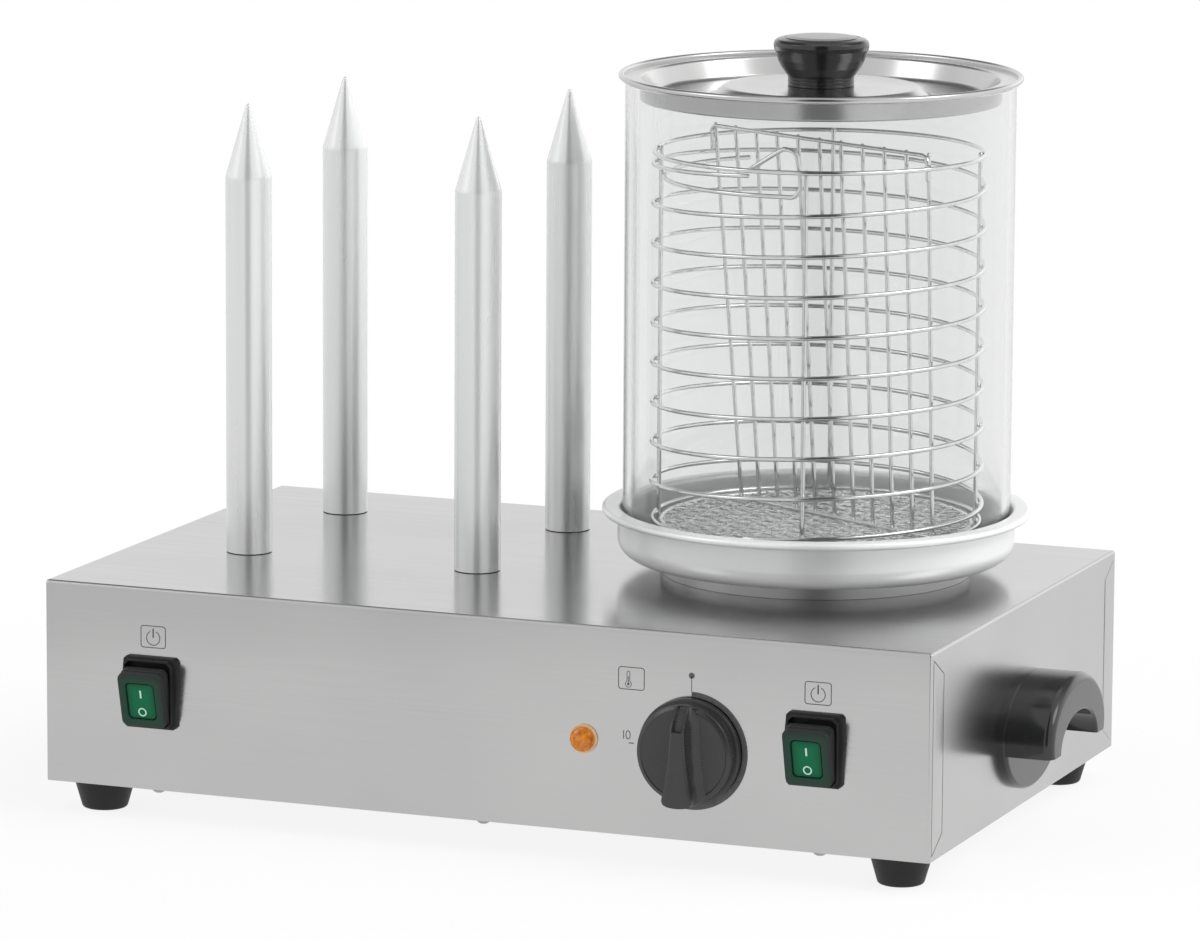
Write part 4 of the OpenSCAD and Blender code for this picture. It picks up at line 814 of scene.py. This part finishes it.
# pilot lamp: a thin flange and a dome over it
lamp = {"flange": 1.0, "flangeEdge": 0.35, "dome": 6.2, "wall": 2.0, "domeHeight": 3.2, "foot": 0.2}
lampAt, lampRadius = middleOf("lamp_lens", 1, frontY), reachOf("lamp_lens")
domeAt, domeSize = (0, lamp["flange"] + lamp["wall"]), (lamp["dome"], lamp["domeHeight"])
domeRows = np.concatenate(([(lamp["dome"], lamp["foot"])], arcPoints(domeAt, domeSize, 0, 90, 12)))
makePiece("lampLens", [turned(domeRows, lampAt, onFront, 72)], amberLens, "housing",
    "lamp_lens", 35)
flangeRows = rounded([(0, 0), (lampRadius, 0), (lampRadius, lamp["flange"]), (0, lamp["flange"])],
    lamp["flangeEdge"], 5)
makePiece("lampFlange", [turned(flangeRows, lampAt, onFront, 72)], amberRim, "housing",
    sharp=35)
print("knob and lamp made")

# rocker switches: a stepped black frame on the panel, and a tinted boot that tips with its rocker;
# rows give width, height, corner radius and level
switch = {"frame": ((28.8, 37.0, 1.5, 0), (28.8, 37.0, 1.5, 2.4), (28.2, 36.4, 1.4, 3.0),
        (27.4, 35.2, 2.4, 3.1), (27.2, 35.0, 2.4, 3.4), (27.2, 35.0, 2.4, 5.4),
        (26.8, 34.6, 2.2, 5.9), (25.4, 33.2, 2.2, 5.9), (25.2, 33.0, 2.2, 5.6), (25.2, 33.0, 2.2, 0.1)),
    "boot": ((23.4, 29.0, 3.0, 4.0), (24.4, 30.0, 3.0, 4.6), (24.4, 30.0, 3.0, 8.8), (23.4, 29.0, 3.0, 9.1),
        (23.4, 29.0, 3.0, 9.7), (24.4, 29.6, 3.2, 10.1), (24.4, 29.2, 3.2, 12.5),
        (24.0, 28.6, 3.2, 13.2), (23.2, 27.6, 3.2, 13.6), (21.4, 25.4, 3.0, 13.8),
        (17.0, 21.4, 2.8, 13.8), (16.2, 20.5, 2.6, 13.6), (15.8, 20.0, 2.5, 13.0),
        (15.7, 19.9, 2.5, 12.0)),
    "rocker": ((15.3, 19.5, 2.4, 10.8), (15.3, 19.5, 2.4, 12.6), (14.9, 19.1, 2.3, 13.0),
        (13.4, 17.6, 2.0, 13.15), (8.0, 12.0, 1.6, 13.15)),
    "pivot": 3.0, "tilt": 14.0, "dip": 0.6, "dipReach": 9.6, "bulge": 1.2, "bulgeAt": 5.0,
    "bulgeSpread": 11.0, "drop": (1.2, 0.0), "face": 12.9, "markHeight": 0.2, "barAt": 3.9, "bar": 4.3,
    "barWidth": 0.9, "ringAt": -6.0, "ring": 2.0, "ringWidth": 0.7, "ringLift": 0.1}


# a soft box: each row's rounded rectangle at its level
def softBox(rows, steps):
    width, height, radius, level = np.transpose(rows)
    return stacked(rectLoops(width, height, radius, steps), level, (0, 0, 0), flat)


# the boot and the rocker turn about the pivot's line, across the panel
def tipped(points):
    turn = np.radians(switch["tilt"])
    x, y, z = np.moveaxis(points, -1, 0)
    z = z - switch["pivot"]
    return np.stack((x, y * np.cos(turn) - z * np.sin(turn),
            switch["pivot"] + y * np.sin(turn) + z * np.cos(turn)), -1)


# frame: each side in twelve steps, the three lowest rows bulging by a bell curve of the height
frameBox = softBox(switch["frame"], 2)
between = np.linspace(0, 1, 12, endpoint=False)[:, None]
frameBox = frameBox[:, :, None] + (np.roll(frameBox, -1, 1) - frameBox)[:, :, None] * between
frameBox = frameBox.reshape(len(switch["frame"]), -1, 3)
bulge = switch["bulge"] * np.exp(-((frameBox[:3, :, 1] - switch["bulgeAt"]) / switch["bulgeSpread"]) ** 2)
frameBox[:3, :, 0] += np.sign(frameBox[:3, :, 0]) * bulge
# boot: a soft box with a rounded opening; rocker: its face dips in a shallow valley along the middle
bootBox = tipped(softBox(switch["boot"], 8))
rockerBox = softBox(switch["rocker"], 8)
rockerBox[1:, :, 2] -= switch["dip"] * (1 - abs(rockerBox[1:, :, 1]) / switch["dipReach"])
rockerBox = tipped(rockerBox)
# the stroke and the ring, printed on the plane of the rocker's face
barPath = np.linspace((0, switch["barAt"] - switch["bar"] / 2), (0, switch["barAt"] + switch["bar"] / 2), 6)
ringPath = arcPoints((0, switch["ringAt"]), switch["ring"], 0, 350, 36)
marks = (printed(barPath, switch["barWidth"], (0, 0, 0), flat, switch["face"], switch["markHeight"]),
    printed(ringPath, switch["ringWidth"], (0, 0, 0), flat, switch["face"] + switch["ringLift"],
        switch["markHeight"], True))
switchBoxes = (frameBox, bootBox, rockerBox)
for side, drop in zip(("left", "right"), switch["drop"]):
    frameNode, rockerNode, rockerBody = "switch_frame_" + side, "rocker_" + side, side + "_rocker"
    switchAt = middleOf(frameNode, 1, frontY) - (0, 0, drop)
    framePart, bootPart, rockerPart = (gridPart(switchAt + box @ onFront) for box in switchBoxes)
    markParts = [(switchAt + tipped(points) @ onFront, quads, uv) for points, quads, uv in marks]
    makePiece(frameNode, [framePart], rubber, "housing", frameNode, 35)
    makePiece("boot_" + side, [bootPart], greenBoot, rockerBody, sharp=50)
    makePiece(rockerNode, [rockerPart], greenRocker, rockerBody, rockerNode, 50)
    makePiece("rockerMarks_" + side, markParts, mintPrint, rockerBody, weighted=False)
print("switches made")

# panel print: boxes with a power sign or a thermometer, a dot, a sweep that grows with the heat,
# a last tick and its number
panel = {"line": 0.45, "lift": -0.02, "height": 0.1, "box": (13.7, 11.2, 1.4), "dotAt": (114.5, 100.4),
    "dot": 1.55, "stemTo": 92.4, "stem": 0.35, "sweep": 28.5, "sweepFrom": 90.0, "sweepTo": -112.0,
    "sweepWidths": (2.7, 3.0), "tickAt": (82.7, 63.6), "tick": 2.8, "tickWidth": 0.5,
    "figureAt": (80.0, 67.6), "figure": (1.5, 4.2)}
power = {"at": ((-179.1, 96.3), (181.0, 97.0)), "ring": 3.7, "ringDrop": 0.6, "from": 115, "to": 425,
    "stroke": (-0.4, 4.3), "strokeWidth": 0.8}
thermometer = {"at": (82.5, 96.4), "shift": (-1.6, -0.6), "line": 0.35, "bulbAt": -2.4, "bulb": 1.6,
    "capAt": 3.4, "cap": 0.75, "core": 0.35, "coreWidth": 0.7, "column": (-2.0, 1.6),
    "columnWidth": 0.4}


# a printed line in the front panel's plane, at the print's own level and thickness
def panelLine(path, width=panel["line"], ring=False):
    return printed(path, width, (0, frontY, 0), onFront, panel["lift"], panel["height"], ring)


# an upright panel line at x, even steps from one height to another
def panelStroke(x, low, high, width=panel["line"], steps=4):
    return panelLine(np.linspace((x, low), (x, high), steps), width)


printParts = [panelLine(rectLoops(*panel["box"], 6)[0] + spot, ring=True)
    for spot in (*power["at"], thermometer["at"])]
for x, z in power["at"]:
    powerRing = arcPoints((x, z - power["ringDrop"]), power["ring"], power["from"], power["to"], 40)
    printParts.append(panelLine(powerRing))
    printParts.append(panelStroke(x, *np.add(power["stroke"], z), power["strokeWidth"], 5))
heatX, heatZ = np.add(thermometer["at"], thermometer["shift"])
bulbAt = (heatX, heatZ + thermometer["bulbAt"])
bulbLine = arcPoints(bulbAt, thermometer["bulb"], 118, 422, 28)
capLine = arcPoints((heatX, heatZ + thermometer["capAt"]), thermometer["cap"], 0, 180, 12)
coreLine = arcPoints(bulbAt, thermometer["core"], 0, 340, 12)
columnLow, columnHigh = np.add(thermometer["column"], heatZ)
dotX, dotZ = panel["dotAt"]
dotLine = arcPoints((dotX, dotZ), panel["dot"] / 2, 0, 345, 24)
sweepLine = arcPoints(knobAt[[0, 2]], panel["sweep"], panel["sweepFrom"], panel["sweepTo"], 90)
tickX, tickZ = panel["tickAt"]
tickLine = np.linspace((tickX - panel["tick"] / 2, tickZ), (tickX + panel["tick"] / 2, tickZ), 4)
figureX, figureZ = panel["figureAt"]
figureWide, figureHigh = panel["figure"]
zeroAt, zeroSize = (figureX + figureWide * 0.6, figureZ), (figureWide * 0.75, figureHigh / 2)
zeroLine = arcPoints(zeroAt, zeroSize, 0, 350, 30)
printParts += [panelLine(np.concatenate((bulbLine, capLine)), thermometer["line"], True),
    panelLine(coreLine, thermometer["coreWidth"], True),
    panelStroke(heatX, columnLow, columnHigh, thermometer["columnWidth"]),
    panelLine(dotLine, panel["dot"], True),
    panelStroke(dotX, dotZ, panel["stemTo"], panel["stem"]),
    panelLine(sweepLine, np.linspace(*panel["sweepWidths"], 90)),
    panelLine(tickLine, panel["tickWidth"]),
    panelStroke(figureX - figureWide, figureZ - figureHigh / 2, figureZ + figureHigh / 2, steps=5),
    panelLine(zeroLine, ring=True)]
makePiece("panelPrint", printParts, panelPrint, "housing", weighted=False)
print("panel print made")

# floor: a wide disc, plain and pale, whose outer part melts into the white surroundings;
# near and far are metres from the origin
floor = {"rows": ((300, 0), (500, 0), (660, 0), (660, -10)), "drop": -0.3, "pale": 0.9, "near": 0.3,
    "far": 0.62, "nearGlow": 0.86, "farGlow": 1.0}
floorPoints, floorQuads = turned(floor["rows"], (0, midY, floor["drop"]))[:2]
floorMesh = bpy.data.meshes.new("floor")
floorMesh.from_pydata((floorPoints * metres).tolist(), [], floorQuads.tolist())
addObject("floor", floorMesh)
floorFinish = bpy.data.materials.new("pale floor")
floorFinish.use_nodes = True
floorTree = floorFinish.node_tree
floorTree.nodes.clear()
matt = addNode(floorTree, "BsdfDiffuse", {"Color": (*grey(floor["pale"]), 1)})["BSDF"]
glow = addNode(floorTree, "Emission", {"Color": (1, 1, 1, 1), "Strength": 1.0})["Emission"]
floorSpot = addNode(floorTree, "TexCoord", {})["Object"]
outFar = addNode(floorTree, "VectorMath", {0: floorSpot}, operation="LENGTH")["Value"]
melt = ramped(floorTree, outFar, floor["near"], floor["far"], floor["nearGlow"], floor["farGlow"])
floorSurface = addNode(floorTree, "MixShader", {0: melt, 1: matt, 2: glow})["Shader"]
addNode(floorTree, "OutputMaterial", {"Surface": floorSurface})
floorMesh.materials.append(floorFinish)

# studio: brightness by the direction's angle from the camera's side, in three bands from the floor to
# overhead; a patch is a direction, the cosines of its edge and core, and a brightness
studio = {"below": ((-180, 0.9), (-120, 0.85), (-60, 0.82), (-32, 0.86), (-18, 1.0), (-11, 0.3), (9, 0.3),
        (16, 1.1), (35, 1.15), (60, 1.05), (100, 1.1), (140, 1.0), (180, 0.9)),
    "low": ((-180, 1.0), (-130, 1.0), (-90, 1.1), (-50, 0.9), (-20, 0.9), (-14, 0.04), (12, 0.04),
        (18, 0.9), (50, 0.9), (90, 1.2), (125, 1.2), (145, 1.5), (165, 1.2), (180, 1.0)),
    "high": ((-180, 0.18), (-130, 0.25), (-90, 0.8), (-40, 0.9), (-20, 0.9), (-13, 0.04), (11, 0.04),
        (18, 0.9), (60, 1.0), (100, 1.1), (130, 0.35), (180, 0.18)),
    "lowSpan": (-0.05, 0.06), "highSpan": (0.33, 0.5), "inGlass": 5.0,
    "patches": (((0.1, 0.208, 0.973), 0.9, 0.95, 0.95), ((0.74, -0.198, 0.643), 0.96, 0.98, 4.0),
        ((-0.79, -0.21, 0.574), 0.96, 0.98, 2.6))}
world = bpy.data.worlds.new("studio")
bpy.context.scene.world = world
world.use_nodes = True
sky = world.node_tree
sky.nodes.clear()
spun = {"Vector": addNode(sky, "TexCoord", {})["Generated"], "Angle": -azimuth}
outward = addNode(sky, "VectorRotate", spun, rotation_type="Z_AXIS")["Vector"]
skyAxes = addNode(sky, "SeparateXYZ", {"Vector": outward})
bearing = worked(sky, "ARCTAN2", skyAxes["X"], worked(sky, "MULTIPLY", skyAxes["Y"], -1.0))
turnShare = worked(sky, "ADD", worked(sky, "DIVIDE", bearing, tau), 0.5)


# one band: a stop's level is its angle as a share of the full turn, its grey is half its brightness
def skyBand(stops):
    return tinted(sky, turnShare, [(angle / 360 + 0.5, grey(bright / 2)) for angle, bright in stops])


lowShare = ramped(sky, skyAxes["Z"], *studio["lowSpan"])
highShare = ramped(sky, skyAxes["Z"], *studio["highSpan"])
brightness = blended(sky, lowShare, skyBand(studio["below"]), skyBand(studio["low"]))
brightness = blended(sky, highShare, brightness, skyBand(studio["high"]))
for patchAim, patchEdge, patchCore, patchGlow in studio["patches"]:
    facing = addNode(sky, "VectorMath", {0: outward, 1: patchAim}, operation="DOT_PRODUCT")["Value"]
    brightness = blended(sky, ramped(sky, facing, patchEdge, patchCore), brightness, patchGlow / 2)
# white for the camera, and through glass for a ray that no metal has turned
rays = addNode(sky, "LightPath", {})
unturned = worked(sky, "LESS_THAN", rays["Glossy Depth"], 0.5)
through = worked(sky, "MULTIPLY", rays["Is Transmission Ray"], unturned)
seen = worked(sky, "MAXIMUM", rays["Is Camera Ray"], through)
# matt surfaces behind glass get the lamp's share from the surroundings: glass stops the lamp's rays
matted = worked(sky, "GREATER_THAN", rays["Diffuse Depth"], 0.5)
white = worked(sky, "ADD", 1.0, worked(sky, "MULTIPLY", matted, studio["inGlass"] - 1.0))
strength = blended(sky, seen, worked(sky, "MULTIPLY", brightness, 2.0), white)
background = addNode(sky, "Background", {"Color": (1, 1, 1, 1), "Strength": strength})["Background"]
addNode(sky, "OutputWorld", {"Surface": background})

# one wide soft lamp high on the right, in metres
softbox = {"place": (1.3, -0.2, 1.6), "aim": (0.0, 0.0, 0.15), "size": 1.2, "power": 10.0}
softData = bpy.data.lights.new("softbox", "AREA")
softData.shape = "DISK"
softData.size = softbox["size"]
softData.energy = softbox["power"]
softLamp = addObject("softbox", softData)
toLamp = unit(np.subtract(softbox["place"], softbox["aim"]))
sideways = unit(np.cross((0, 0, 1), toLamp))
softLamp.matrix_world = posed(sideways, np.cross(toLamp, sideways), toLamp, softbox["place"])
softLamp.visible_camera = False
softLamp.visible_glossy = False
print("floor, studio and lamp made")
